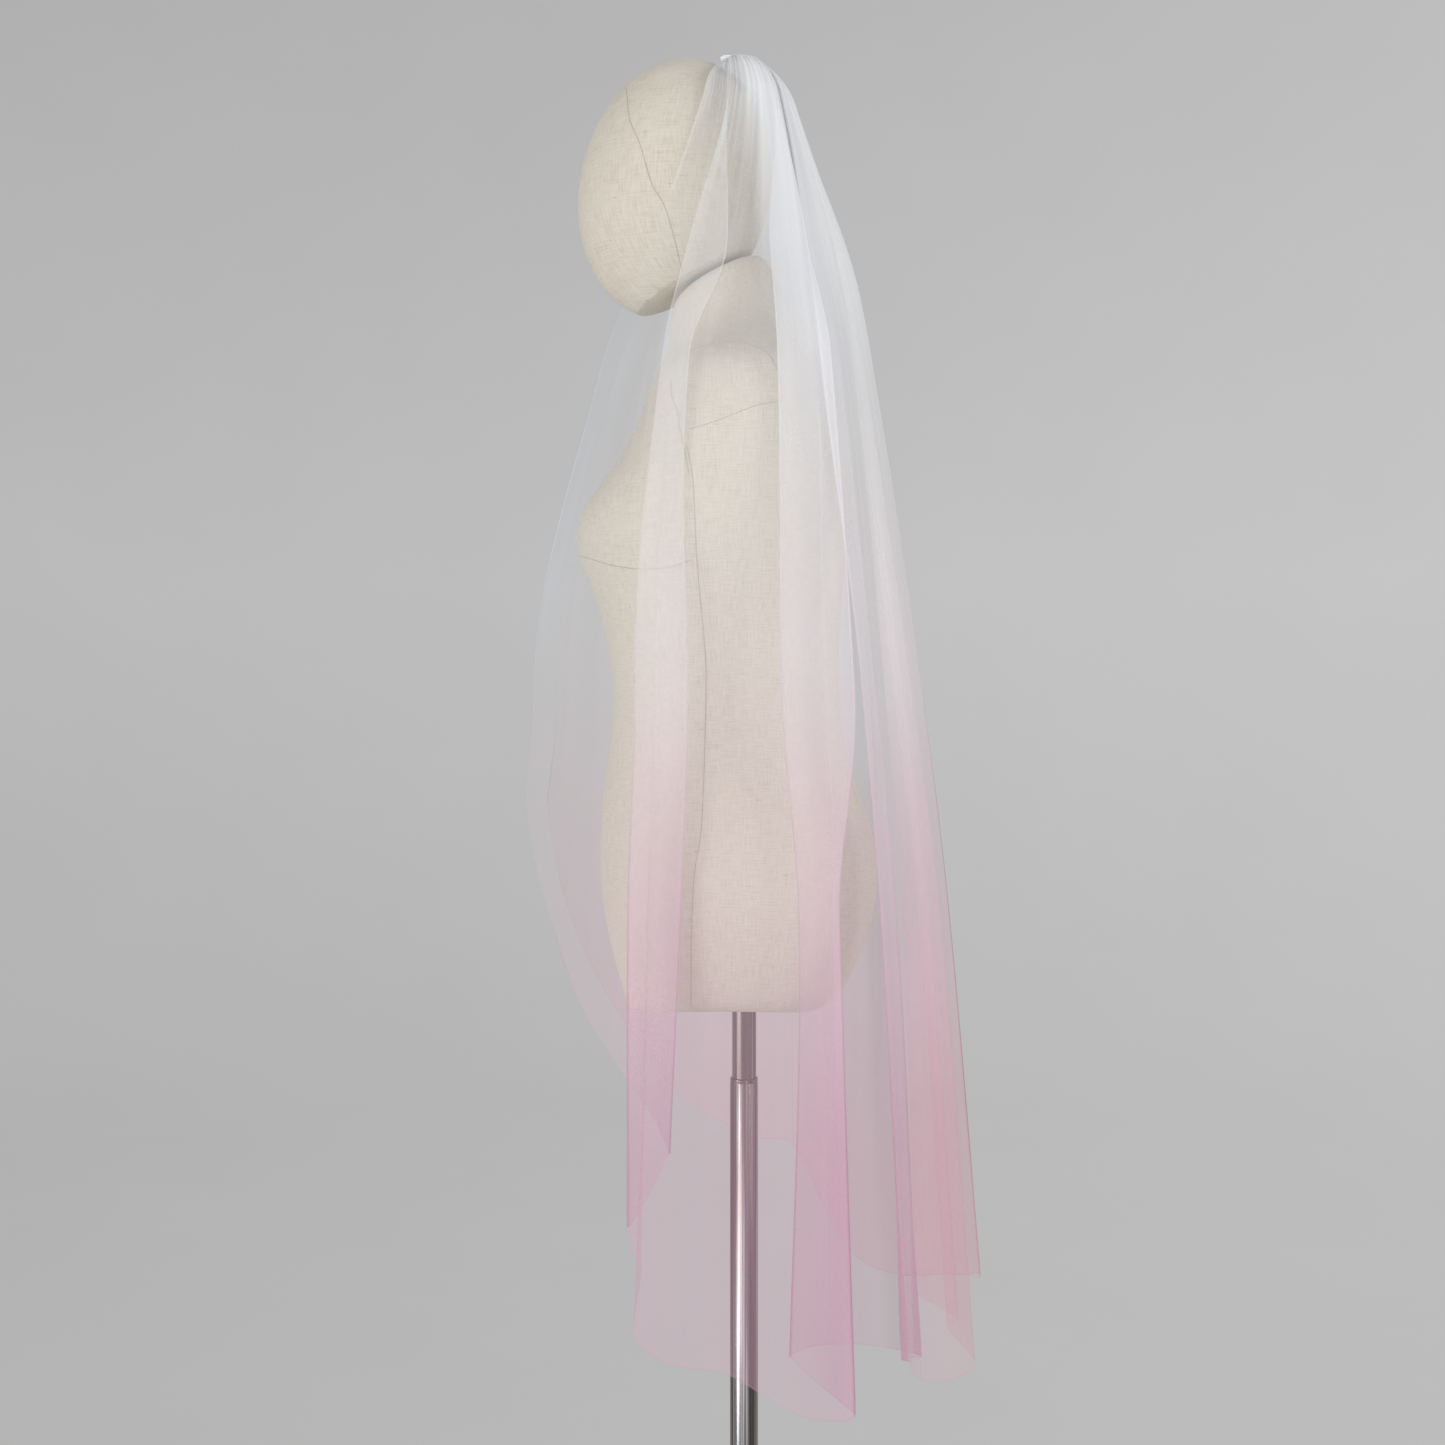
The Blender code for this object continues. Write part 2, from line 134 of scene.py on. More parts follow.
def smoothThrough(keys, values, at):
    # value on a curve through the keys that never overshoots them
    count = len(keys)
    if at <= keys[0]:
        return values[0]
    if at >= keys[-1]:
        return values[-1]
    slopes = [(values[i + 1] - values[i]) / (keys[i + 1] - keys[i]) for i in range(count - 1)]
    tangents = [slopes[0]]
    for before, after in zip(slopes, slopes[1:]):
        tangents.append(2 * before * after / (before + after) if before * after > 0 else 0.0)
    tangents.append(slopes[-1])
    i = max(k for k in range(count - 1) if keys[k] <= at)
    step = keys[i + 1] - keys[i]
    t = (at - keys[i]) / step
    near = (1 + 2 * t) * (1 - t) ** 2 * values[i] + t * t * (3 - 2 * t) * values[i + 1]
    return near + step * (t * (1 - t) ** 2 * tangents[i] - t * t * (1 - t) * tangents[i + 1])


def curveBetween(before, start, end, after, t):
    # Catmull-Rom point between two neighbours
    return 0.5 * (2 * start + (end - before) * t + (2 * before - 5 * start + 4 * end - after) * t * t
                  + (3 * start - 3 * end + after - before) * t ** 3)


# camera at the photo's place: level, on the form's left, 1.5 m from its middle

view = {"distance": 1.5, "along": -0.0215, "height": 1.0495, "frameWidth": 1.445, "sensor": 36}
cameraData = bpy.data.cameras.new("photoCamera")
cameraData.sensor_width = view["sensor"]
cameraData.lens = view["sensor"] * view["distance"] / view["frameWidth"]
photoCamera = addObject("photoCamera", cameraData)
photoCamera.location = (view["distance"], view["along"], view["height"])
photoCamera.rotation_euler = (radians(90), 0, radians(90))
bpy.context.scene.camera = photoCamera
bpy.context.scene.view_settings.view_transform = "Standard"
print("stage: camera")


# materials

def makeTulle(fabric):
    # dyed nylon tulle: one layer of the net hides little, so colour builds up where layers and fold
    # edges pile; the dye runs from white at the crown to dusty pink at the hem
    material, tree, shader = newMaterial("dyed nylon tulle")
    place = addNode(tree, "TexCoord")
    axes = addNode(tree, "SeparateXYZ", {"Vector": place.outputs["Object"]})
    # the dye line wanders from fold to fold and climbs towards the front edges
    wander = addNode(tree, "Attribute", attribute_name="dyeWander")
    shift = addNode(tree, "Math", {0: wander.outputs["Fac"], 1: axes.outputs["Z"]}, operation="ADD")
    level = addNode(tree, "MapRange", {
        "Value": shift, "From Min": fabric["low"], "From Max": fabric["high"]})
    dye = addNode(tree, "ValToRGB", {"Fac": level})
    setStops(dye, [(at, left) for at, left, right in fabric["dye"]])
    rosy = addNode(tree, "ValToRGB", {"Fac": level})
    setStops(rosy, [(at, right) for at, left, right in fabric["dye"]])
    side = addNode(tree, "Attribute", attribute_name="rosy")
    color = addNode(tree, "Mix", {"Factor": side.outputs["Fac"], 6: dye, 7: rosy}, data_type="RGBA")
    # painted shade: a bluish tint is mixed in where the single layer hangs at the front, standing for the cool
    # shade that this layer lies in
    paintedShade = addNode(tree, "Attribute", attribute_name="paintedShade")
    color = addNode(tree, "Mix", {
        "Factor": paintedShade.outputs["Fac"], 6: color.outputs[2], 7: hexColor(fabric["paintedShadeTint"])},
        data_type="RGBA")
    # how much one layer hides: soft streaks run down the cloth, and a faint grain stands for the
    # net, drawn at 2 mm because its real 1 mm holes are finer than a pixel
    net = addNode(tree, "TexNoise", {"Vector": place.outputs["Object"], "Scale": 500.0, "Detail": 0.0})
    cover = addNode(tree, "MapRange", {
        "Value": level, "To Min": fabric["coverLow"], "To Max": fabric["coverHigh"]})
    netty = addNode(tree, "MapRange", {
        "Value": net, "From Min": 0.3, "From Max": 0.7, "To Min": 0.975, "To Max": 1.025})
    streak = addNode(tree, "Attribute", attribute_name="streak")
    grain = addNode(tree, "Math", {0: streak.outputs["Fac"], 1: netty}, operation="MULTIPLY")
    base = addNode(tree, "Math", {0: cover, 1: grain}, operation="MULTIPLY")
    # the threads close up where the cloth is gathered, turns over a fold or ends in a cut edge
    closed = addNode(tree, "Attribute", attribute_name="closed")
    hides = addNode(tree, "Math", {0: closed.outputs["Fac"], 1: base}, operation="ADD", use_clamp=True)
    # and their dye shows deeper there
    deeper = addNode(tree, "MapRange", {"Value": closed.outputs["Fac"], "From Max": 0.3, "To Max": 0.6})
    depth = addNode(tree, "Mix", {
        "Factor": deeper, 6: color.outputs[2], 7: color.outputs[2]},
        data_type="RGBA", blend_type="MULTIPLY")
    tree.links.new(depth.outputs[2], shader.inputs["Base Color"])
    tree.links.new(hides.outputs["Value"], shader.inputs["Alpha"])
    shader.inputs["Roughness"].default_value = 0.75
    shader.inputs["IOR"].default_value = 1.53
    shader.inputs["Specular IOR Level"].default_value = 0.2
    shader.inputs["Sheen Weight"].default_value = 0.25
    shader.inputs["Sheen Roughness"].default_value = 0.4
    return material


fabric = {
    "low": 0.44, "high": 1.74,            # heights where the dye starts and ends
    "coverLow": 0.28, "coverHigh": 0.22,  # share that one layer hides at the hem and at the crown
    "dye": [  # place between those heights, colour on the form's left, colour on its right
        (0.0, "d3a6bb", "deb0bc"), (0.18, "d6abbf", "dfb2be"), (0.29, "dfc1cf", "e5c3cf"),
        (0.41, "e9d5de", "ead4dd"), (0.53, "f1eaf0", "f1eaee"), (0.66, "f5f4f7", "f5f4f6"),
        (0.8, "f6f7f9", "f7f8f9"), (1.0, "f7f8f9", "f7f8f9"),
    ],
    # bluish tint painted where the single front layer hangs in shade
    "paintedShadeTint": "dfe9fd",
}
tulle = makeTulle(fabric)


def makeLinen():
    # unbleached linen, plain woven from uneven flax thread: slubs show as short darker dashes
    # along both threads; threads are about 0.8 mm apart and drawn at 1.1 mm so that they show
    material, tree, shader = newMaterial("unbleached woven linen")
    cloth = addNode(tree, "UVMap", uv_map="cloth")
    across = addNode(tree, "Mapping", {"Vector": cloth, "Scale": (60.0, 900.0, 1.0)})
    down = addNode(tree, "Mapping", {"Vector": cloth, "Scale": (900.0, 60.0, 1.0)})
    weft = addNode(tree, "TexNoise", {"Vector": across, "Scale": 1.0, "Detail": 3.0, "Roughness": 0.6})
    warp = addNode(tree, "TexNoise", {"Vector": down, "Scale": 1.0, "Detail": 3.0, "Roughness": 0.6})
    weave = addNode(tree, "Math", {0: weft, 1: warp}, operation="ADD")
    tone = addNode(tree, "MapRange", {"Value": weave, "From Min": 0.72, "From Max": 1.22})
    cloudy = addNode(tree, "TexNoise", {"Vector": cloth, "Scale": 14.0, "Detail": 4.0})
    blend = addNode(tree, "Math", {0: cloudy, 1: 0.35, 2: tone}, operation="MULTIPLY_ADD")
    color = addNode(tree, "ValToRGB", {"Fac": blend.outputs["Value"]})
    setStops(color, [(0.15, "c9bfaf"), (0.45, "d2cabc"), (0.75, "d7d0c3"), (1.0, "dcd5ca")])
    # stray dark flax fibres
    flecks = addNode(tree, "Mapping", {"Vector": cloth, "Scale": (110.0, 800.0, 1.0)})
    fleck = addNode(tree, "TexNoise", {"Vector": flecks, "Scale": 1.0, "Detail": 1.0})
    isFleck = addNode(tree, "MapRange", {"Value": fleck, "From Min": 0.74, "From Max": 0.82})
    mixed = addNode(tree, "Mix", {
        "Factor": isFleck, 6: color, 7: hexColor("a8977c")},
        data_type="RGBA")
    bump = addNode(tree, "Bump", {"Height": weave, "Strength": 0.25, "Distance": 0.0004})
    tree.links.new(mixed.outputs[2], shader.inputs["Base Color"])
    tree.links.new(bump.outputs["Normal"], shader.inputs["Normal"])
    shader.inputs["Roughness"].default_value = 0.88
    shader.inputs["Specular IOR Level"].default_value = 0.25
    shader.inputs["Sheen Weight"].default_value = 0.15
    return material


linen = makeLinen()


def makeThread():
    # waxed cotton seam thread, a shade darker than the linen, twisted
    material, tree, shader = newMaterial("cotton seam thread")
    place = addNode(tree, "TexCoord")
    twist = addNode(tree, "TexNoise", {"Vector": place.outputs["Object"], "Scale": 420.0, "Detail": 2.0})
    color = addNode(tree, "ValToRGB", {"Fac": twist})
    setStops(color, [(0.35, "b3a793"), (0.65, "c6bcab")])
    tree.links.new(color.outputs["Color"], shader.inputs["Base Color"])
    shader.inputs["Roughness"].default_value = 0.9
    return material


thread = makeThread()


def makeSteel(name, scale, toneAndPaintedReflections):
    # stainless steel, brushed: fine scratches that stretch each highlight; the base colour follows the same
    # noise, and on the tube its wide dark and pale bands along the length are painted reflections of lights
    # and dark surroundings
    material, tree, shader = newMaterial(name)
    place = addNode(tree, "TexCoord")
    stretch = addNode(tree, "Mapping", {"Vector": place.outputs["Object"], "Scale": scale})
    scratchAndReflectionBands = addNode(tree, "TexNoise", {"Vector": stretch, "Scale": 1.0, "Detail": 4.0, "Roughness": 0.65})
    color = addNode(tree, "ValToRGB", {"Fac": scratchAndReflectionBands})
    setStops(color, toneAndPaintedReflections)
    rough = addNode(tree, "MapRange", {"Value": scratchAndReflectionBands, "To Min": 0.22, "To Max": 0.32})
    bump = addNode(tree, "Bump", {"Height": scratchAndReflectionBands, "Strength": 0.3, "Distance": 0.0002})
    tree.links.new(color.outputs["Color"], shader.inputs["Base Color"])
    tree.links.new(rough.outputs["Result"], shader.inputs["Roughness"])
    tree.links.new(bump.outputs["Normal"], shader.inputs["Normal"])
    shader.inputs["Metallic"].default_value = 1.0
    return material


# painted reflections: the tube's colour runs from near black to pale blue-white in bands along its length
tubeSteelPaintedReflections = makeSteel(
    "brushed steel tube with painted reflections", (230.0, 230.0, 1.2),
    [(0.36, "4e4846"), (0.5, "756d6a"), (0.6, "979190"), (0.68, "dde2ea")])
plateSteel = makeSteel("brushed steel plate", (25.0, 700.0, 25.0), [(0.3, "96938f"), (0.7, "b5b2ae")])


def makeAcetate():
    # clear cellulose acetate comb, polished, a little cloudy inside
    material, tree, shader = newMaterial("clear acetate")
    place = addNode(tree, "TexCoord")
    haze = addNode(tree, "TexNoise", {"Vector": place.outputs["Object"], "Scale": 120.0, "Detail": 2.0})
    rough = addNode(tree, "MapRange", {"Value": haze, "To Min": 0.3, "To Max": 0.45})
    color = addNode(tree, "ValToRGB", {"Fac": haze})
    setStops(color, [(0.3, "e6e4de"), (0.7, "f4f3ef")])
    tree.links.new(color.outputs["Color"], shader.inputs["Base Color"])
    tree.links.new(rough.outputs["Result"], shader.inputs["Roughness"])
    shader.inputs["IOR"].default_value = 1.48
    shader.inputs["Specular IOR Level"].default_value = 0.3
    shader.inputs["Transmission Weight"].default_value = 0.7
    return material


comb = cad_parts["comb"]
comb.data.materials.clear()
comb.data.materials.append(makeAcetate())
print("stage: materials")


# torso of the dress form: one cross-section a row, from the neck's top to the underside

torso = {
    "points": 28, "squareness": 2.3,
    "sections": [  # level, front, back, half width, tilt (back higher than front), side lift, all in mm
        (1499.5, -71, 18, 47, 47, 0), (1473, -72, 29, 49, 46, 0), (1448, -75, 46, 57, 42, 0),
        (1426, -80, 62, 78, 32, 0), (1407, -86, 76, 108, 22, 0), (1391, -91, 86, 137, 13, 0),
        (1373, -96, 94, 154, 7, 0), (1345, -105, 100, 160, 2, 0), (1309, -121, 105, 160, 0, 0),
        (1281, -145, 107, 158, 0, 0), (1255, -163, 107, 156, 0, 0), (1232, -169, 105, 153, 0, 0),
        (1207, -164, 101, 148, 0, 0), (1177, -150, 98, 140, 0, 0), (1137, -137, 95, 128, 0, 0),
        (1087, -131, 94, 121, 0, 0), (1042, -132, 97, 125, 0, 0), (1002, -138, 107, 136, 0, 0),
        (970, -142, 119, 147, 0, 0), (930, -144, 132, 156, 0, 0), (892, -144, 134, 159, 0, 0),
        (857, -139, 129, 157, 0, 3), (817, -130, 114, 150, 0, 8), (785, -121, 98, 141, 0, 14),
        (770, -116, 80, 131, 0, 16), (766, -108, 62, 121, 0, 17),
    ],
    "board": (785, -100, 54, 112),  # level, front, back and half width of the underside's flat board
    "pull": 30,                     # how far a ring is pulled down before it takes its shape
    "wrapAhead": 20, "wrapRadius": 140,  # the line in front of the origin that the linen goes round
}


def torsoRing(row):
    level, front, back, halfWidth, tilt, lift = row
    middle, half, power = (front + back) / 2, (back - front) / 2, 2 / torso["squareness"]
    ring = []
    for i in range(torso["points"]):
        turn = 2 * pi * i / torso["points"]
        side = abs(sin(turn)) ** power * (1 if sin(turn) >= 0 else -1)
        ahead = abs(cos(turn)) ** power * (1 if cos(turn) >= 0 else -1)
        height = level - tilt / 2 * ahead + lift * side * side
        ring.append(Vector((halfWidth * side, middle - half * ahead, height)) * mm)
    return ring


def nearestIn(ring, place):
    return min(range(len(ring)), key=lambda i: (ring[i] - place).length)


def makeTorso():
    # a ring is drawn at the neck and extruded down through the sections, then subdivided
    bpy.ops.object.select_all(action="DESELECT")
    bpy.ops.mesh.primitive_circle_add(vertices=torso["points"], radius=0.05, fill_type="NGON")
    piece = bpy.context.object
    piece.name = piece.data.name = "torsoForm"
    rings = [torsoRing(row) for row in torso["sections"] + [(*torso["board"], 0, 0)]]
    pull = Vector((0, 0, -torso["pull"])) * mm
    bpy.ops.object.mode_set(mode="EDIT")
    for number, ring in enumerate(rings):
        if number:
            bpy.ops.mesh.extrude_region_move(TRANSFORM_OT_translate={"value": tuple(pull)})
        mesh = bmesh.from_edit_mesh(piece.data)
        mesh.verts.ensure_lookup_table()
        chosen = [v for v in mesh.verts if v.select]
        if number == 0:
            chosen.sort(key=lambda v: atan2(v.co.x, -v.co.y) % (2 * pi))
        else:
            chosen.sort(key=lambda v: nearestIn(rings[number - 1], v.co - pull))
        for vert, place in zip(chosen, ring):
            vert.co = place
        bmesh.update_edit_mesh(piece.data)
    faceOut()
    selectOnly(piece)
    rounded = piece.modifiers.new("rounded", "SUBSURF")
    rounded.levels = rounded.render_levels = 2
    bpy.ops.object.modifier_apply(modifier="rounded")
    piece.data.shade_smooth()
    return piece


def wrapCloth(piece, radius):
    # linen's own thread directions: once round the form, and up its height, in metres
    layer = piece.data.uv_layers.new(name="cloth")
    for polygon in piece.data.polygons:
        first = None
        for loop in polygon.loop_indices:
            place = piece.data.vertices[piece.data.loops[loop].vertex_index].co
            turn = atan2(place.x, -place.y - torso["wrapAhead"] * mm)
            first = turn if first is None else first
            if first - turn > pi:
                turn += 2 * pi
            elif turn - first > pi:
                turn -= 2 * pi
            layer.data[loop].uv = (turn * radius * mm, place.z)


torsoForm = makeTorso()
wrapCloth(torsoForm, torso["wrapRadius"])
finishPiece(torsoForm, linen, "body_form")
print("stage: torso", len(torsoForm.data.polygons))


# egg-shaped head, cut flat where it stands on the neck

head = {
    "centre": (0, -69, 1582), "radii": (76, 95, 129), "tilt": 13, "wrapRadius": 80,
    "seatFront": (-71, 1476), "seatBack": (18, 1523), "gap": 0.3,
}


def makeHead():
    bpy.ops.object.select_all(action="DESELECT")
    bpy.ops.mesh.primitive_uv_sphere_add(
        segments=72, ring_count=48, radius=1, location=Vector(head["centre"]) * mm,
        rotation=(radians(-head["tilt"]), 0, 0), scale=Vector(head["radii"]) * mm)
    piece = bpy.context.object
    piece.name = piece.data.name = "headForm"
    bpy.ops.object.transform_apply(location=True, rotation=True, scale=True)
    front = Vector((0, *head["seatFront"])) * mm
    back = Vector((0, *head["seatBack"])) * mm
    along = (back - front).normalized()
    up = Vector((0, -along.z, along.y))
    bpy.ops.object.mode_set(mode="EDIT")
    bpy.ops.mesh.select_all(action="SELECT")
    seat = front + up * head["gap"] * mm
    bpy.ops.mesh.bisect(plane_co=seat, plane_no=up, use_fill=True, clear_inner=True)
    faceOut()
    piece.data.shade_smooth()
    return piece


headForm = makeHead()
wrapCloth(headForm, head["wrapRadius"])
finishPiece(headForm, linen, "head_form")
print("stage: head", len(headForm.data.polygons))


# what the cloth has to stay clear of

def treeOf(piece):
    mesh = bmesh.new()
    mesh.from_mesh(piece.data)
    bmesh.ops.triangulate(mesh, faces=mesh.faces)
    tree = BVHTree.FromBMesh(mesh)
    mesh.free()
    return tree


headTree = treeOf(headForm)
torsoTree = treeOf(torsoForm)


def pushedOut(point, tree):
    # the point itself, or the nearest place that keeps the cloth clear of the form
    nearest, normal, _, distance = tree.find_nearest(point)
    if distance > veil["pushReach"] * mm:
        return point
    away = point - nearest
    height = away.length if away.dot(normal) > 0 else -away.length
    return nearest + normal * veil["clear"] * mm if height < veil["clear"] * mm else point


# the veil: the same folds as its solid, on a finer net, with small creases laid over them

veil = {
    "clear": 2.6, "pushReach": 30,  # how far the cloth stays off the form, and where that is looked at
    "rowsBelow": (20, 15, 30, 18, 30), "sharpRow": 20, "waistRow": 90,
    # the comb, and how the cloth rises over its front edge and sweeps down to the first section
    "combHalf": 38, "combAngle": 24.2, "headReach": 139, "headerBack": 6, "headerLift": 3.2,
    "headerPuff": 8, "puffShare": 0.2, "headerRows": 25, "headerSweep": 66,
    "ovals": [  # height of a section, then how far the cloth hangs out at the front, back and sides
        (1650, 70, 57, 92), (1490, 135, 113, 142), (1380, 180, 133, 187),
        (1080, 250, 178, 198), (880, 250, 204, 210), (460, 250, 240, 218),
    ],
    # each fold's angle round the form at crown, neck, shoulder, waist, hip and hem (0 is the front, 90
    # the form's left), how far it stands out at shoulder, waist and hem, and the height of its hem;
    # 0 to 3 are the left front, 4 to 8 the front pleat, 9 to 12 the side panel, 13 to 15 the side
    # pleat, 16 to 25 the left back, 26 to 29 the right back, 30 to 36 the right side and front
    "folds": [
        (54, 42, 37, 39, 36, 35, -12, 0, -2, 978), (58, 48, 44, 44, 40, 39, -17, -3, -4, 914),
        (62, 56, 53, 51, 48, 46, -22, -9, -11, 835), (66, 62, 59, 57, 55, 52, -21, -13, -20, 781),
        (71, 65, 63, 64, 62, 61, -17, -18, -28, 732), (75, 81, 71, 76, 74, 71, -20, -25, -36, 667),
        (79, 67, 65, 66, 64, 63, -5, -9, -20, 604), (83, 74, 69, 70, 69, 67, -3, -4, -12, 566),
        (88, 79, 73, 73, 71, 67, 1, 2, 0, 517), (94, 86, 80, 79, 78, 75, -3, -3, -3, 495),
        (101, 91, 88, 88, 87, 86, -2, -2, -1, 491), (108, 100, 99, 98, 97, 98, 1, 2, 1, 461),
        (114, 108, 109, 109, 106, 105, 7, 7, 0, 449), (118, 116, 120, 119.5, 112, 113, 12, 10, -5, 448),
        (121, 103, 104, 102, 105, 101, -13, -20, -29, 493), (125, 119, 120, 116, 116, 116, -9, -17, -24, 500),
        (129, 131, 137, 139, 138, 135, -16, -21, -20, 476), (128, 120, 121, 128, 128, 128, -3, -8, -8, 481),
        (138, 133, 136, 135, 134, 133, -6, -7, -10, 459), (145, 141, 143, 143, 142, 141, -5, -2, 0, 452),
        (152, 150, 152, 152, 152, 150, -5, -1, 5, 457), (158, 155, 158, 157, 157, 157, -18, -24, -30, 474),
        (165, 162, 163, 163, 163, 163, -14, -18, -24, 477), (173, 169, 170, 170, 171, 170, -22, -38, -66, 489),
        (180, 178, 179, 180, 181, 183, -15, -26, -46, 494), (187, 185, 185, 187, 189, 190, 2, 4, 7, 482),
        (198, 199, 197, 201, 205, 208, -4, -4, -2, 460), (206, 211, 210, 214, 218, 221, -5, -6, -5, 445),
        (215, 223, 221, 224, 227, 236, 4, 10, -8, 451), (226, 235, 234, 239, 241, 245, -8, -12, -22, 511),
        (238, 249, 249, 252, 254, 255, -2, 2, -6, 570), (254, 263, 265, 266, 265, 265, -6, -12, -22, 581),
        (273, 279, 281, 280, 281, 282, -4, 0, -16, 613), (288, 294, 295, 291, 294, 297, -10, -16, -26, 673),
        (299, 307, 310, 306, 311, 314, -4, -2, -8, 788), (307, 316, 321, 316, 321, 322, -9, -4, 2, 878),
        (311, 322, 327, 322, 325, 326, -4, 4, 4, 962),
    ],
    "stations": (1650, 1490, 1380, 1080, 880), "stationGap": 40, "lastRow": 2,
    "outLevels": (1650, 1380, 1080), "outLowest": 1040, "outAtCrown": 0.3,
    # a fold is sharp where the cosine of its turn is under this; its tip is a narrow strip of its
    # own, as wide as this in mm and half that count of a fold to each side, wider near the hem
    "sharpCosine": 0.35, "foldTip": 2.6, "tipPlace": 0.04, "hemOpening": 9, "openingHeight": 150,
    # columns between two main ones, and the strip along each cut edge
    "evenSteps": (0, 0.25, 0.5, 0.75), "afterFold": (0, 0.1, 0.37, 0.68),
    "beforeFold": (0, 0.32, 0.63, 0.9), "edgeStrips": (0.55, 0.4), "edgePlace": 0.02,
    # small creases: place counted in folds, how far it wanders by the hem, the heights where it
    # starts and ends, its depth (out is positive) and its half width, both in mm
    "creases": [
        (0.3, 0.15, 1200, 1105, 1.8, 3), (4.6, -1.7, 1395, 1325, 2.0, 3), (10.4, 0.35, 1700, 1470, 1.2, 3),
        (0.6, 0.1, 1330, 1150, -2.5, 5), (1.3, -0.2, 1420, 1330, 4.0, 5), (2.4, 0.3, 1390, 1290, 3.0, 4),
        (3.4, 0.1, 1560, 1200, 2.0, 5), (5.5, 0.2, 1400, 800, 1.5, 3), (7.6, -0.2, 1500, 700, 1.6, 3),
        (8.6, 0.3, 1620, 1350, 2.5, 5), (9.4, -0.3, 1640, 1420, 2.8, 4),
        (9.6, 0.2, 1200, 500, -3.0, 9), (10.5, 0.3, 1660, 1500, 2.2, 4), (10.4, -0.1, 1350, 900, 2.5, 8),
        (11.4, 0.2, 1640, 1300, 2.4, 5), (11.6, -0.2, 1150, 460, 2.6, 7), (12.5, 0.1, 1650, 1200, 2.0, 4),
        (12.6, 0.1, 1000, 450, -2.0, 6), (13.5, 0.1, 1400, 600, 1.4, 3), (14.6, 0.2, 1300, 520, 1.4, 3),
        (16.5, 0.1, 1200, 600, 1.2, 3), (18.5, 0.3, 1640, 1000, 2.2, 5), (19.4, -0.2, 1250, 450, 2.4, 6),
        (20.5, 0.2, 1660, 1200, -2.0, 5), (21.4, 0.1, 1500, 700, 2.0, 5), (22.5, -0.2, 1150, 480, 2.4, 5),
        (23.4, 0.2, 1600, 1000, 1.8, 5), (24.5, 0.2, 1450, 500, 2.6, 8), (25.5, -0.3, 1640, 1250, 2.8, 6),
        (25.6, 0.3, 1100, 480, -3.2, 12), (26.5, 0.2, 1600, 800, 3.0, 9), (27.4, 0.2, 1350, 470, -2.6, 8),
        (28.5, -0.2, 1640, 900, 3.0, 8), (29.4, 0.2, 1200, 560, 2.4, 8), (30.5, 0.3, 1620, 1100, -2.8, 9),
        (31.4, -0.2, 1000, 600, 2.6, 9), (32.5, 0.2, 1560, 900, 2.6, 8), (33.5, 0.2, 1400, 800, -2.4, 7),
        (34.5, -0.2, 1500, 1000, 2.4, 6), (35.4, 0.1, 1350, 950, 2.2, 5),
    ],
    "creaseReach": 1.2, "creaseEnds": 0.6, "edgeCalm": 0.6, "tipCalm": 0.35,
    "gathers": 46, "gatherDepth": 0.9, "gatherEnd": 1430, "gatherFade": 220, "gatherRows": 6,
    # threads closing up, as the share that they hide more: over the sharp folds' tips, along the cut
    # edges and the hem, on a crease's line (its width and its most) and on the gathers
    "tipCover": 0.24, "tipStart": (0.05, 0.2), "cutCover": 0.65, "cutStart": (0.02, 0.1),
    "hemCover": 0.14, "creaseCover": 0.08, "lineWidth": 0.6, "lineMost": 1.5, "gatherCover": 0.05,
    # soft ridges whose top is seen along the cloth: the fold's number, and how much more it hides
    "ridges": {15: 0.1, 18: 0.06, 20: 0.16, 22: 0.08, 24: 0.06, 25: 0.14, 27: 0.06, 30: 0.08, 33: 0.08},
    # and towards the comb: place in folds, share at the crown, height where it ends
    "crownTop": 1720,
    "gathered": [
        (0, 0.65, 1500), (0.9, 0.5, 1520), (2.5, 0.38, 1545), (4.4, 0.38, 1545), (5.0, 0.55, 1545),
        (8.3, 0.6, 1545), (8.8, 0.9, 1535), (10.1, 0.9, 1520), (10.7, 0.7, 1400), (12, 0.62, 1280),
        (15, 0.5, 1150), (15.6, 0.3, 1190), (17, 0.55, 1100), (24, 0.55, 1000), (30, 0.4, 1250),
        (36, 0.25, 1450),
    ],
    # where one layer looks thinner or thicker: place in folds, factor above and below the hip, and
    # the height and distance over which the one becomes the other
    "layers": [
        (0, 0.25, 0.65), (3.5, 0.3, 0.75), (4.6, 0.6, 1.3), (7, 0.6, 1.3), (9, 0.8, 0.85),
        (12.4, 0.8, 0.95), (12.6, 0.85, 1.5), (13.45, 0.85, 1.5), (13.55, 0.85, 0.85),
        (15.1, 0.85, 0.9), (30, 0.95, 1.0), (33, 0.35, 0.8), (36, 0.2, 0.7),
    ],
    "layerHeights": (750, 400),
    # the opening between two back pleats, where hardly any cloth is seen, and the cloth that lies
    # behind it: first and last place; then the heights, how they fade and the factor
    "slots": [(15.15, 16.05), (27.7, 28.8)], "slotHeights": (960, 1185), "slotFade": 50,
    "slotCover": 0.25,
    # the dye: how far it climbs towards the front edges and over how many folds, in metres; its
    # waves (size, pitch, phase, lean down the cloth); where the painted bluish shade and the rosy colour lie
    "dyeClimb": 0.13, "frontFolds": 4.5,
    "dyeWaves": [(0.012, 1.7, 1, 0), (0.009, 4.1, 0, 6), (0.006, 9.3, 0, 0)],
    "paintedShadeLow": (1000, 200), "paintedShadeHigh": (1580, 150), "rosyStart": (16, 4),
    "streakPitches": (23.0, 41.0), "streakDepth": 0.05,
}


def drapePoint(level, angle, reach):
    keys = [-row[0] for row in veil["ovals"]]
    front, back, side = (smoothThrough(keys, [row[k] for row in veil["ovals"]], -level) for k in (1, 2, 3))
    turn = radians(angle)
    deep = front if cos(turn) > 0 else back
    return Vector(((side + reach) * sin(turn), -(deep + reach) * cos(turn), level))


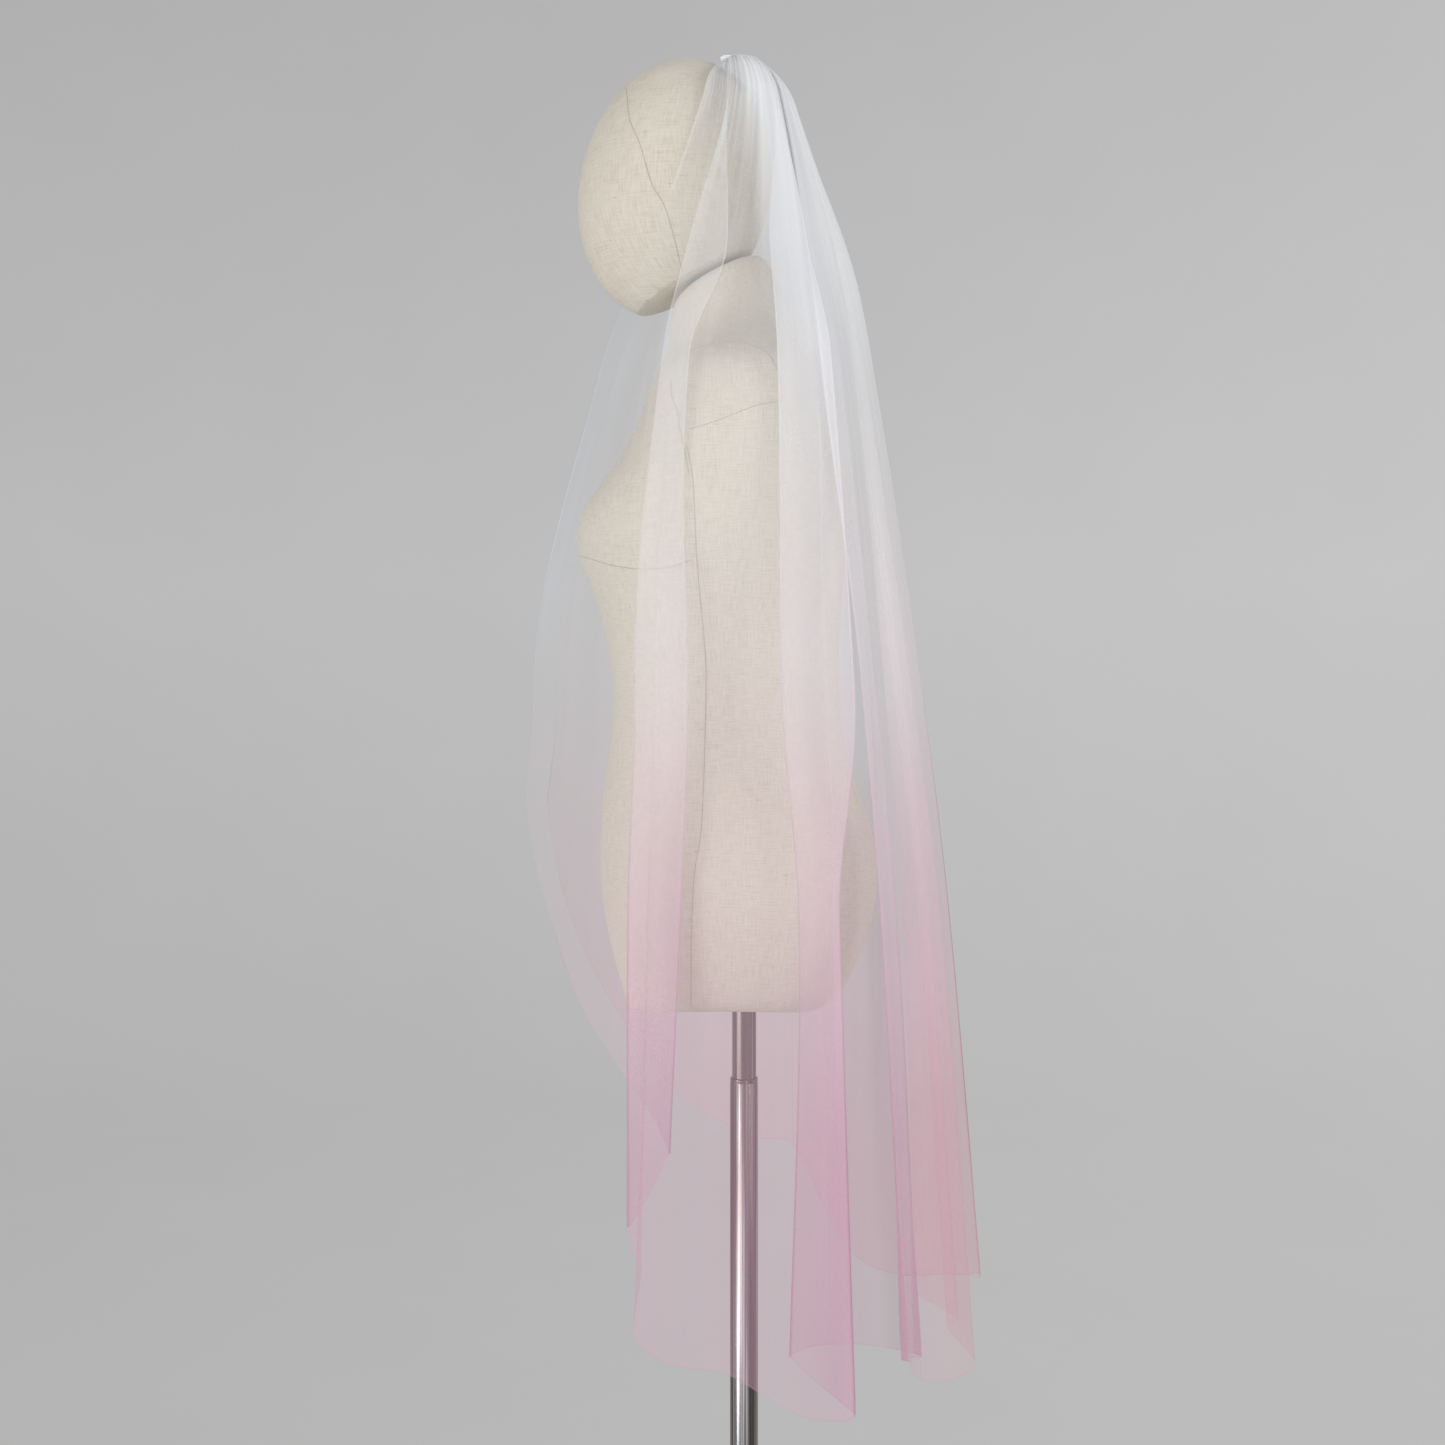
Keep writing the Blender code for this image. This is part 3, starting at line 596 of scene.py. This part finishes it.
def overCrown(x, back, lift):
    # a place above the head, the given arc behind the comb's middle
    angle = radians(veil["combAngle"]) + back / veil["headReach"]
    centre = Vector((x, head["centre"][1], head["centre"][2])) * mm
    way = Vector((0, sin(angle), cos(angle)))
    place, normal, _, _ = headTree.ray_cast(centre + way, -way)
    return place + normal * lift * mm, normal


def foldLevels(hem):
    # heights of a fold's points in mm, so many rows from one station to the next
    stops = [level for level in veil["stations"] if level > hem + veil["stationGap"]]
    left = len(veil["rowsBelow"]) + 1 - len(stops)
    stops += [between(stops[-1], hem, (k + 1) / left) for k in range(left)]
    levels = []
    for upper, lower, rows in zip(stops, stops[1:], veil["rowsBelow"]):
        levels += [between(upper, lower, k / rows) for k in range(rows)]
    return levels + [hem + veil["lastRow"], hem]


def foldLine(number):
    # one fold from the comb to the hem
    crownTurn, neck, shoulder, waist, hip, end, outTop, outMid, outEnd, hem = veil["folds"][number]
    keys = [-level for level in veil["stations"] if level > hem + veil["stationGap"]]
    angles = [crownTurn, neck, shoulder, waist, hip][:len(keys)] + [end]
    keys.append(-hem)
    outKeys = [-level for level in veil["outLevels"]] + [-min(hem, veil["outLowest"])]
    outs = [outTop * veil["outAtCrown"], outTop, outMid, outEnd]
    line = []
    for level in foldLevels(hem):
        reach = smoothThrough(outKeys, outs, -level)
        line.append(drapePoint(level, smoothThrough(keys, angles, -level), reach))
    along = number / (len(veil["folds"]) - 1)
    x = between(veil["combHalf"], -veil["combHalf"], along)
    start, _ = overCrown(x, veil["headerBack"], veil["headerLift"])
    x, y, z = start / mm
    crown = line[0]
    sweep = radians(veil["headerSweep"])
    over = []
    for k in range(veil["headerRows"]):
        part = k / veil["headerRows"]
        out = sin(sweep * part) / sin(sweep)
        drop = (1 - cos(sweep * part)) / (1 - cos(sweep))
        top = z + veil["headerPuff"] * easeIn(part / veil["puffShare"])
        over.append(Vector((between(x, crown.x, out), between(y, crown.y, out), between(top, crown.z, drop))))
    return [point * mm for point in over + line]


def isSharp(before, line, after):
    # true where the cloth doubles back on itself along most of a fold
    rows = range(veil["headerRows"] + veil["sharpRow"], len(line))
    back = 0
    for row in rows:
        arriving = (line[row] - before[row]).to_2d()
        leaving = (after[row] - line[row]).to_2d()
        back += arriving.dot(leaving) < veil["sharpCosine"] * arriving.length * leaving.length
    return back > len(rows) / 2


def foldTip(before, line, after, side):
    # one side of a sharp fold's tip, at most a quarter of the way to its neighbour
    tip = []
    for row, point in enumerate(line):
        arriving = (point - before[row]).to_2d().to_3d()
        leaving = (after[row] - point).to_2d().to_3d()
        across = (arriving.normalized() + leaving.normalized()).normalized()
        aboveHem = (point.z - line[-1].z) / (veil["openingHeight"] * mm)
        opened = veil["foldTip"] + veil["hemOpening"] * easeIn(1 - aboveHem)
        width = min(opened * mm / 2, arriving.length / 4, leaving.length / 4)
        tip.append(point + across * width * side)
    return tip


def mainColumns(lines, sharp):
    # each fold, the two sides of a sharp fold's tip, and a column half way to the next fold; every
    # column comes with its place counted in folds
    last = len(lines) - 1
    columns = [(0.0, lines[0])]
    for i in range(last):
        before, after = lines[max(i - 1, 0)], lines[min(i + 2, last)]
        around = zip(before, lines[i], lines[i + 1], after)
        columns.append((i + 0.5, [curveBetween(*four, 0.5) for four in around]))
        if i + 1 in sharp:
            for side in (-1, 1):
                tip = foldTip(lines[i], lines[i + 1], lines[i + 2], side)
                columns.append((i + 1 + side * veil["tipPlace"], tip))
        else:
            columns.append((i + 1.0, lines[i + 1]))
    return columns


def fineColumns(columns):
    # columns between the main ones, closer together beside a fold
    last = len(columns) - 1
    folds = [abs(place - round(place)) < veil["tipPlace"] * 1.5 for place, _ in columns]
    fine = []
    for i in range(last):
        (here, start), (there, end) = columns[i], columns[i + 1]
        before, after = columns[max(i - 1, 0)][1], columns[min(i + 2, last)][1]
        times = veil["evenSteps"]
        if folds[i] and not folds[i + 1]:
            times = veil["afterFold"]
        elif folds[i + 1] and not folds[i]:
            times = veil["beforeFold"]
        for t in times:
            column = [curveBetween(*four, t) for four in zip(before, start, end, after)]
            fine.append((between(here, there, t), column))
    fine.append(columns[last])
    # a narrow strip along each cut edge
    near, far = veil["edgeStrips"]
    strip = [between(a, b, near) for a, b in zip(fine[0][1], fine[1][1])]
    fine.insert(1, (veil["edgePlace"], strip))
    strip = [between(a, b, far) for a, b in zip(fine[-1][1], fine[-2][1])]
    fine.insert(-1, (fine[-1][0] - veil["edgePlace"], strip))
    return fine


def layCreases(places, grid, sharp):
    # moves each point along the cloth's own normal by the gathers and the small creases near it, and
    # gives how far their threads close up; cut edges and the tips of sharp folds hang smooth
    count, rows = len(grid), len(grid[0])
    moved, lines = [], []
    folds = len(veil["folds"]) - 1
    for c in range(count):
        place = places[c]
        near = [crease for crease in veil["creases"]
                if abs(crease[0] + crease[1] / 2 - place) < veil["creaseReach"] + abs(crease[1]) / 2]
        # the gathers are uneven in pitch and in depth
        wave = sin(2 * pi * veil["gathers"] * place / folds + 1.3 * sin(place * 1.9))
        size = veil["gatherDepth"] * (0.75 + 0.25 * sin(place * 2.7 + 1))
        lower, upper = max(c - 1, 0), min(c + 1, count - 1)
        left, right = grid[lower], grid[upper]
        apart = max(abs(places[upper] - places[lower]) / 2, 0.01)
        edge = easeIn(min(place, folds - place) / veil["edgeCalm"])
        calm = easeIn(min(abs(place - fold) for fold in sharp) / veil["tipCalm"])
        column, lined = [], []
        for r in range(rows):
            point = grid[c][r]
            across = right[r] - left[r]
            down = grid[c][min(r + 1, rows - 1)] - grid[c][max(r - 1, 0)]
            normal = down.cross(across).normalized()
            level = point.z / mm
            fade = min(1.0, r / veil["gatherRows"]) * edge
            fade *= easeIn((level - veil["gatherEnd"]) / veil["gatherFade"])
            push = size * wave * fade
            line = 0.0
            pitch = max(across.length / mm / 2, 0.05)
            for at, drift, top, bottom, depth, width in near:
                part = (top - level) / (top - bottom)
                if 0 < part < 1:
                    away = (place - at - drift * part) * pitch / apart
                    along = sin(pi * part) ** veil["creaseEnds"]
                    push += depth * along * exp(-(away / width) ** 2)
                    line += along * exp(-(away / (veil["lineWidth"] * width)) ** 2) * min(1.0, 3 / width)
            column.append(point + normal * push * calm * mm)
            closed = veil["creaseCover"] * min(line, veil["lineMost"])
            lined.append(closed + veil["gatherCover"] * fade * wave)
        moved.append(column)
        lines.append(lined)
    return moved, lines


def tableAt(rows, place):
    # values of a table's columns at one place, straight between its rows
    for lower, upper in zip(rows, rows[1:]):
        if place <= upper[0]:
            t = max(0.0, (place - lower[0]) / (upper[0] - lower[0]))
            return [between(a, b, t) for a, b in zip(lower[1:], upper[1:])]
    return list(rows[-1][1:])


clothMarks = ("closed", "rosy", "paintedShade", "dyeWander", "streak")


def markCloth(piece, marks):
    # one value for each point: closed-up threads, warmer colour, painted bluish shade, wander of the dye,
    # streaks
    for name in clothMarks:
        attribute = piece.data.attributes.new(name, "FLOAT", "POINT")
        attribute.data.foreach_set("value", marks[name])


def fadeIn(value, start, over):
    return easeIn((value - start) / over)


def veilMarks(places, grid, down, lined, sharp):
    count, rows = len(grid), len(grid[0])
    lastFold = len(veil["folds"]) - 1
    marks = {name: [] for name in clothMarks}
    for c, place in enumerate(places):
        share, end = tableAt(veil["gathered"], place)
        isTip = round(place) in sharp and abs(place - round(place)) < veil["tipPlace"] * 0.6
        edgeCover = veil["tipCover"] if isTip else veil["ridges"].get(place, 0)
        climb = veil["dyeClimb"] * (1 - easeIn(min(place, lastFold - place) / veil["frontFolds"]))
        atFront = 1 - easeIn(place / veil["frontFolds"])
        thinAbove, thinBelow = tableAt(veil["layers"], place)
        for r in range(rows):
            low, height = down[c][r], grid[c][r].z / mm
            closed = share * fadeIn(height, end, veil["crownTop"] - end) + lined[c][r]
            closed += edgeCover * fadeIn(low, *veil["tipStart"])
            if min(c, count - 1 - c) < 2:
                closed += veil["cutCover"] * fadeIn(low, *veil["cutStart"])
            elif r == rows - 1:
                closed += veil["hemCover"]
            above, below = thinAbove, thinBelow
            if any(first < place < last for first, last in veil["slots"]):
                bottom, top = veil["slotHeights"]
                inSlot = fadeIn(height, bottom, veil["slotFade"]) * fadeIn(-height, -top, veil["slotFade"])
                above, below = (value * between(1, veil["slotCover"], inSlot) for value in (above, below))
                closed *= 1 - inSlot
            first, second = veil["streakPitches"]
            ripple = sin(place * first + 3 * sin(place * 2.1) + 2 * low)
            ripple += 0.7 * sin(place * second + 2 * sin(3 * low + place))
            layer = between(below, above, fadeIn(height, *veil["layerHeights"]))
            # painted shade: a bluish tint on the front folds between these heights
            paintedShadeEnd, paintedShadeFade = veil["paintedShadeHigh"]
            paintedShade = atFront * fadeIn(height, *veil["paintedShadeLow"]) * fadeIn(-height, -paintedShadeEnd, paintedShadeFade)
            waves = sum(size * sin(place * pitch + phase + lean * low)
                        for size, pitch, phase, lean in veil["dyeWaves"])
            marks["closed"].append(closed)
            marks["rosy"].append(fadeIn(place, *veil["rosyStart"]))
            marks["paintedShade"].append(paintedShade)
            marks["dyeWander"].append(waves - climb)
            marks["streak"].append(layer * (1.0 + veil["streakDepth"] * ripple))
    return marks


def lengthsAlong(line):
    # distance of each point from the line's start, in metres
    run = [0.0]
    for before, point in zip(line, line[1:]):
        run.append(run[-1] + (point - before).length)
    return run


def makeVeil():
    lines = [foldLine(number) for number in range(len(veil["folds"]))]
    sharp = {i for i in range(1, len(lines) - 1) if isSharp(lines[i - 1], lines[i], lines[i + 1])}
    fine = fineColumns(mainColumns(lines, sharp))
    places = [place for place, _ in fine]
    grid, lined = layCreases(places, [column for _, column in fine], sharp)
    grid = [[pushedOut(pushedOut(point, headTree), torsoTree) for point in column] for column in grid]
    count, rows = len(grid), len(grid[0])
    points = [point for column in grid for point in column]
    faces = [(c * rows + r, c * rows + r + 1, (c + 1) * rows + r + 1, (c + 1) * rows + r)
             for c in range(count - 1) for r in range(rows - 1)]
    piece = pieceFrom("veilTulle", points, faces)
    # the flat cut's own places: along the cloth at the waist, and down each column
    across = lengthsAlong([column[veil["waistRow"]] for column in grid])
    down = [lengthsAlong(column) for column in grid]
    unroll(piece, [(across[c], run) for c in range(count) for run in down[c]])
    markCloth(piece, veilMarks(places, grid, down, lined, sharp))
    piece.data.shade_smooth()
    longest = max(run[-1] for run in down)
    area = sum(polygon.area for polygon in piece.data.polygons)
    print("veil: waist", round(across[-1], 3), "longest", round(longest, 3), "area", round(area, 3))
    return piece


veilTulle = makeVeil()
finishPiece(veilTulle, tulle, "veil_tulle")
print("stage: veil", len(veilTulle.data.polygons))


# the gathered top edge, which stands up above the comb as a small ruffle

heading = {
    "half": 34, "waves": 23, "fine": 12, "height": 11, "wave": 4.2, "rows": 8, "lift": 2.9,
    "flatWidth": 0.4,                              # its cut width before it is gathered, in metres
    "pitchSway": (1.1, 2.3),                       # how far and how often the pitch wanders
    "footWave": 0.3, "topWave": 0.7, "sideWave": 0.4,  # shares of the wave at foot, rim and sideways
    "lean": 0.5, "curl": 0.8, "ragged": (1.3, 0.5),
    "closed": 0.6, "closedTurns": 0.15, "closedRim": 0.2,
}


def makeHeading():
    count, rows = heading["waves"] * heading["fine"], heading["rows"]
    swayed, swings = heading["pitchSway"]
    coarse, finer = heading["ragged"]
    points, faces, flat = [], [], []
    marks = {name: [] for name in clothMarks}
    for i in range(count + 1):
        along = i / count
        x = between(heading["half"], -heading["half"], along)
        turn = 2 * pi * heading["waves"] * along + swayed * sin(2 * pi * swings * along)
        wave = heading["wave"] * (0.75 + 0.25 * sin(9 * along + 1))
        foot, way = overCrown(x, heading["footWave"] * wave * sin(turn), heading["lift"])
        tall = heading["height"] * (0.74 + 0.22 * sin(pi * (0.1 + 0.8 * along)))
        tall += coarse * sin(turn / 3 + 0.6) + finer * sin(turn * 0.71)
        rise = (way + Vector((0, 0, 1))).normalized() * tall
        rise.y *= heading["lean"]
        turns = heading["closedTurns"] * abs(sin(pi * heading["waves"] * along))
        for j in range(rows + 1):
            part = j / rows
            sway = heading["topWave"] * wave * sin(turn + 0.5 * part) * part - heading["curl"] * part * part
            aside = heading["sideWave"] * wave * cos(turn) * part
            points.append(foot + (rise * part + Vector((aside, sway, 0))) * mm)
            flat.append((along * heading["flatWidth"], part * heading["height"] * mm))
            marks["closed"].append(heading["closed"] + turns + (heading["closedRim"] if j == rows else 0.0))
            marks["streak"].append(1.0)
    for i in range(count):
        for j in range(rows):
            a = i * (rows + 1) + j
            faces.append((a, a + rows + 1, a + rows + 2, a + 1))
    for name in ("rosy", "paintedShade", "dyeWander"):
        marks[name] = [0.0] * len(points)
    piece = pieceFrom("veilHeading", points, faces)
    unroll(piece, flat)
    markCloth(piece, marks)
    piece.data.shade_smooth()
    return piece


veilHeading = makeHeading()
finishPiece(veilHeading, tulle, "veil_heading")
print("stage: gathered heading")


# steel stand, turned from outlines in mm: radius and height, with small steps that round its edges

stand = {
    "upperRadius": 12.2, "lowerRadius": 14, "overlap": 60, "collar": 695, "top": 784.7,
    "plateRadius": 160, "plateThick": 8, "hubRadius": 22, "hubHeight": 30, "foot": 5, "gap": 0.3,
    "tubeSteps": 64, "plateSteps": 128, "smoothUnder": 35,
}


def turnPiece(name, outline, steps, smoothUnder):
    # the outline is spun round the stand's axis; it starts and ends on the axis
    points = [Vector((radius * mm, 0, height * mm)) for radius, height in outline]
    piece = pieceFrom(name, points, [], [(i, i + 1) for i in range(len(points) - 1)])
    selectOnly(piece)
    bpy.ops.object.mode_set(mode="EDIT")
    bpy.ops.mesh.select_all(action="SELECT")
    bpy.ops.mesh.spin(steps=steps, angle=2 * pi, center=(0, 0, 0), axis=(0, 0, 1))
    bpy.ops.mesh.select_all(action="SELECT")
    bpy.ops.mesh.remove_doubles(threshold=0.00002)
    faceOut()
    bpy.ops.object.shade_smooth_by_angle(angle=radians(smoothUnder))
    return piece


def makeStand():
    upper, lower, gap = stand["upperRadius"], stand["lowerRadius"], stand["gap"]
    top, collar, steps, under = stand["top"], stand["collar"], stand["tubeSteps"], stand["smoothUnder"]
    upperFoot = collar - stand["overlap"]
    upperTube = turnPiece("upperTube", [
        (0, top), (upper - 0.8, top), (upper, top - 0.8), (upper, upperFoot), (0, upperFoot)], steps, under)
    bore, seat, foot = upper + gap, upperFoot - gap, stand["foot"] + gap
    # the lower tube's mouth is rolled over into a thin collar
    lowerTube = turnPiece("lowerTube", [
        (0, seat), (bore, seat), (bore, collar - 0.6), (bore + 0.5, collar), (lower - 0.7, collar),
        (lower, collar - 0.7), (lower, collar - 3.0), (lower - 0.35, collar - 3.6),
        (lower - 0.35, collar - 4.2), (lower, collar - 4.8), (lower, foot), (0, foot)], steps, under)
    socket, hub, rim, thick = lower + gap, stand["hubRadius"], stand["plateRadius"], stand["plateThick"]
    hubTop, floor = thick + stand["hubHeight"], stand["foot"]
    basePlate = turnPiece("basePlate", [
        (0, floor), (socket, floor), (socket, hubTop - 0.6), (socket + 0.6, hubTop), (hub - 1.8, hubTop),
        (hub - 0.6, hubTop - 0.5), (hub, hubTop - 1.8), (hub, thick + 3.4), (hub + 0.9, thick + 1.2),
        (hub + 3, thick), (rim - 2.2, thick), (rim - 0.7, thick - 0.6), (rim, thick - 2.1), (rim, 0.8),
        (rim - 0.8, 0), (0, 0)], stand["plateSteps"], under)
    finishPiece(upperTube, tubeSteelPaintedReflections, "upper_tube")
    finishPiece(lowerTube, tubeSteelPaintedReflections, "lower_tube")
    finishPiece(basePlate, plateSteel, "base_plate")


makeStand()
print("stage: stand")


# seams of the linen cover: each is a row of places seen from the side (front to back, height, in mm
# on the form's middle plane), laid on the near side of the form and mirrored to the far side

seams = {
    "radius": 0.3, "lift": 0.1, "steps": 8,  # mm, mm, and points from one place to the next
    "rows": {
        "shoulderCapTop": [
            (-60, 1417), (-50, 1423), (-33, 1428), (-8, 1431), (8, 1427), (23, 1419), (31, 1407),
            (37, 1391), (38, 1379), (37, 1371)],
        "shoulderCapLow": [(-55, 1343), (-31, 1350), (-13, 1357), (8, 1365), (23, 1369), (37, 1371)],
        "shoulderCapFront": [(-73, 1391), (-72, 1376), (-67, 1362), (-64, 1345), (-60, 1325), (-55, 1299)],
        "sideSeam": [
            (-58, 1329), (-51, 1292), (-47, 1212), (-39, 1122), (-38, 1072), (-42, 952), (-49, 902),
            (-52, 852), (-53, 766)],
        "bustSeam": [
            (-163, 1216), (-150, 1212), (-133, 1207), (-115, 1204), (-98, 1203), (-75, 1205), (-52, 1212)],
        "headSeam": [
            (-124, 1700), (-118, 1684), (-114, 1652), (-104, 1628), (-92, 1588), (-80, 1567),
            (-70, 1535), (-62, 1500)],
    },
}


def laySeam(name, row, tree, side):
    # the places are joined by a smooth line and cast onto the form from the side
    eye = Vector((view["distance"] * side, view["along"], view["height"]))
    spots = [Vector((0, *place)) * mm for place in row]
    last = len(spots) - 1
    line = []
    for i in range(last):
        around = (spots[max(i - 1, 0)], spots[i], spots[i + 1], spots[min(i + 2, last)])
        line += [curveBetween(*around, k / seams["steps"]) for k in range(seams["steps"])]
    line.append(spots[last])
    laid = []
    for place in line:
        hit, normal, _, _ = tree.ray_cast(eye, (place - eye).normalized())
        if hit:
            laid.append(hit + normal * seams["lift"] * mm)
    curveData = bpy.data.curves.new(name, "CURVE")
    curveData.dimensions = "3D"
    curveData.bevel_depth = seams["radius"] * mm
    curveData.bevel_resolution = 1
    spline = curveData.splines.new("POLY")
    spline.points.add(len(laid) - 1)
    for point, place in zip(spline.points, laid):
        point.co = (*place, 1)
    selectOnly(addObject(name, curveData))
    bpy.ops.object.convert(target="MESH")
    finishPiece(bpy.context.object, thread)


for seamName, seamRow in seams["rows"].items():
    seamTree = headTree if seamName == "headSeam" else torsoTree
    laySeam(seamName + "Left", seamRow, seamTree, 1)
    laySeam(seamName + "Right", seamRow, seamTree, -1)
print("stage: seams")


# pale studio: a round floor that curves up into a wall, and soft lights

studio = {
    "floorRadius": 2.7, "wallRadius": 3.5, "wallHeight": 4.2, "bendSteps": 8, "turnSteps": 96,
    "smoothUnder": 80,
    "glowHeight": 1.5, "glowReach": 1.9,       # where the paper glows most, and how far up and down
    "glowEdge": 0.40, "glowMiddle": 0.455, "glowAcross": 0.018, "air": 0.5,
}


def makeStudio():
    flat, wide, tall = studio["floorRadius"], studio["wallRadius"], studio["wallHeight"]
    bend = wide - flat
    outline = [(0, 0)]
    for k in range(studio["bendSteps"] + 1):
        turn = pi / 2 * k / studio["bendSteps"]
        outline.append(((flat + bend * sin(turn)) / mm, bend * (1 - cos(turn)) / mm))
    outline.append((wide / mm, tall / mm))
    sweep = turnPiece("studioSweep", outline, studio["turnSteps"], studio["smoothUnder"])
    material, tree, shader = newMaterial("matt studio paper")
    place = addNode(tree, "TexCoord")
    axes = addNode(tree, "SeparateXYZ", {"Vector": place.outputs["Object"]})
    # brightest at eye height, and a little brighter towards the form's back
    away = addNode(tree, "Math", {0: axes.outputs["Z"], 1: studio["glowHeight"]}, operation="SUBTRACT")
    far = addNode(tree, "Math", {0: away}, operation="ABSOLUTE")
    middle = addNode(tree, "MapRange", {
        "Value": far, "From Max": studio["glowReach"],
        "To Min": studio["glowMiddle"], "To Max": studio["glowEdge"]})
    glow = addNode(tree, "Math", {
        0: axes.outputs["Y"], 1: studio["glowAcross"], 2: middle}, operation="MULTIPLY_ADD")
    grain = addNode(tree, "TexNoise", {"Vector": place.outputs["Object"], "Scale": 3.0, "Detail": 2.0})
    tone = addNode(tree, "ValToRGB", {"Fac": grain})
    setStops(tone, [(0.3, "5a5a59"), (0.7, "5e5e5d")])
    tree.links.new(tone.outputs["Color"], shader.inputs["Base Color"])
    tree.links.new(glow.outputs["Value"], shader.inputs["Emission Strength"])
    shader.inputs["Emission Color"].default_value = hexColor("ffffff")
    material.cycles.emission_sampling = "NONE"
    shader.inputs["Roughness"].default_value = 1.0
    shader.inputs["Specular IOR Level"].default_value = 0.0
    sweep.data.materials.append(material)
    world = bpy.data.worlds.new("studioAir")
    world.use_nodes = True
    air = world.node_tree.nodes["Background"]
    air.inputs["Color"].default_value = hexColor("f2f3f5")
    air.inputs["Strength"].default_value = studio["air"]
    bpy.context.scene.world = world


def addSoftbox(name, place, aim, size, power, color):
    data = bpy.data.lights.new(name, "AREA")
    data.shape = "RECTANGLE"
    data.size, data.size_y = size
    data.energy = power
    data.color = hexColor(color)[:3]
    light = addObject(name, data)
    light.location = place
    light.rotation_mode = "QUATERNION"
    light.rotation_quaternion = (Vector(aim) - Vector(place)).to_track_quat("-Z", "Y")


softboxes = [  # name, place, aim and size in metres, power in watts, colour
    ("keySoftbox", (2.8, -1.7, 1.15), (0, 0, 1.05), (1.7, 1.9), 40, "fffdfa"),
    ("fillSoftbox", (1.9, 2.6, 1.6), (0, 0, 1.3), (1.7, 1.9), 42, "f8faff"),
    ("lowSoftbox", (1.5, -1.7, 0.3), (0, 0, 1.4), (1.4, 0.8), 11, "ffffff"),
    ("backSoftbox", (-2.2, 0.6, 2.4), (0, 0, 1.1), (1.6, 2.0), 8, "ffffff"),
]
makeStudio()
for softbox in softboxes:
    addSoftbox(*softbox)
print("stage: studio and lights")
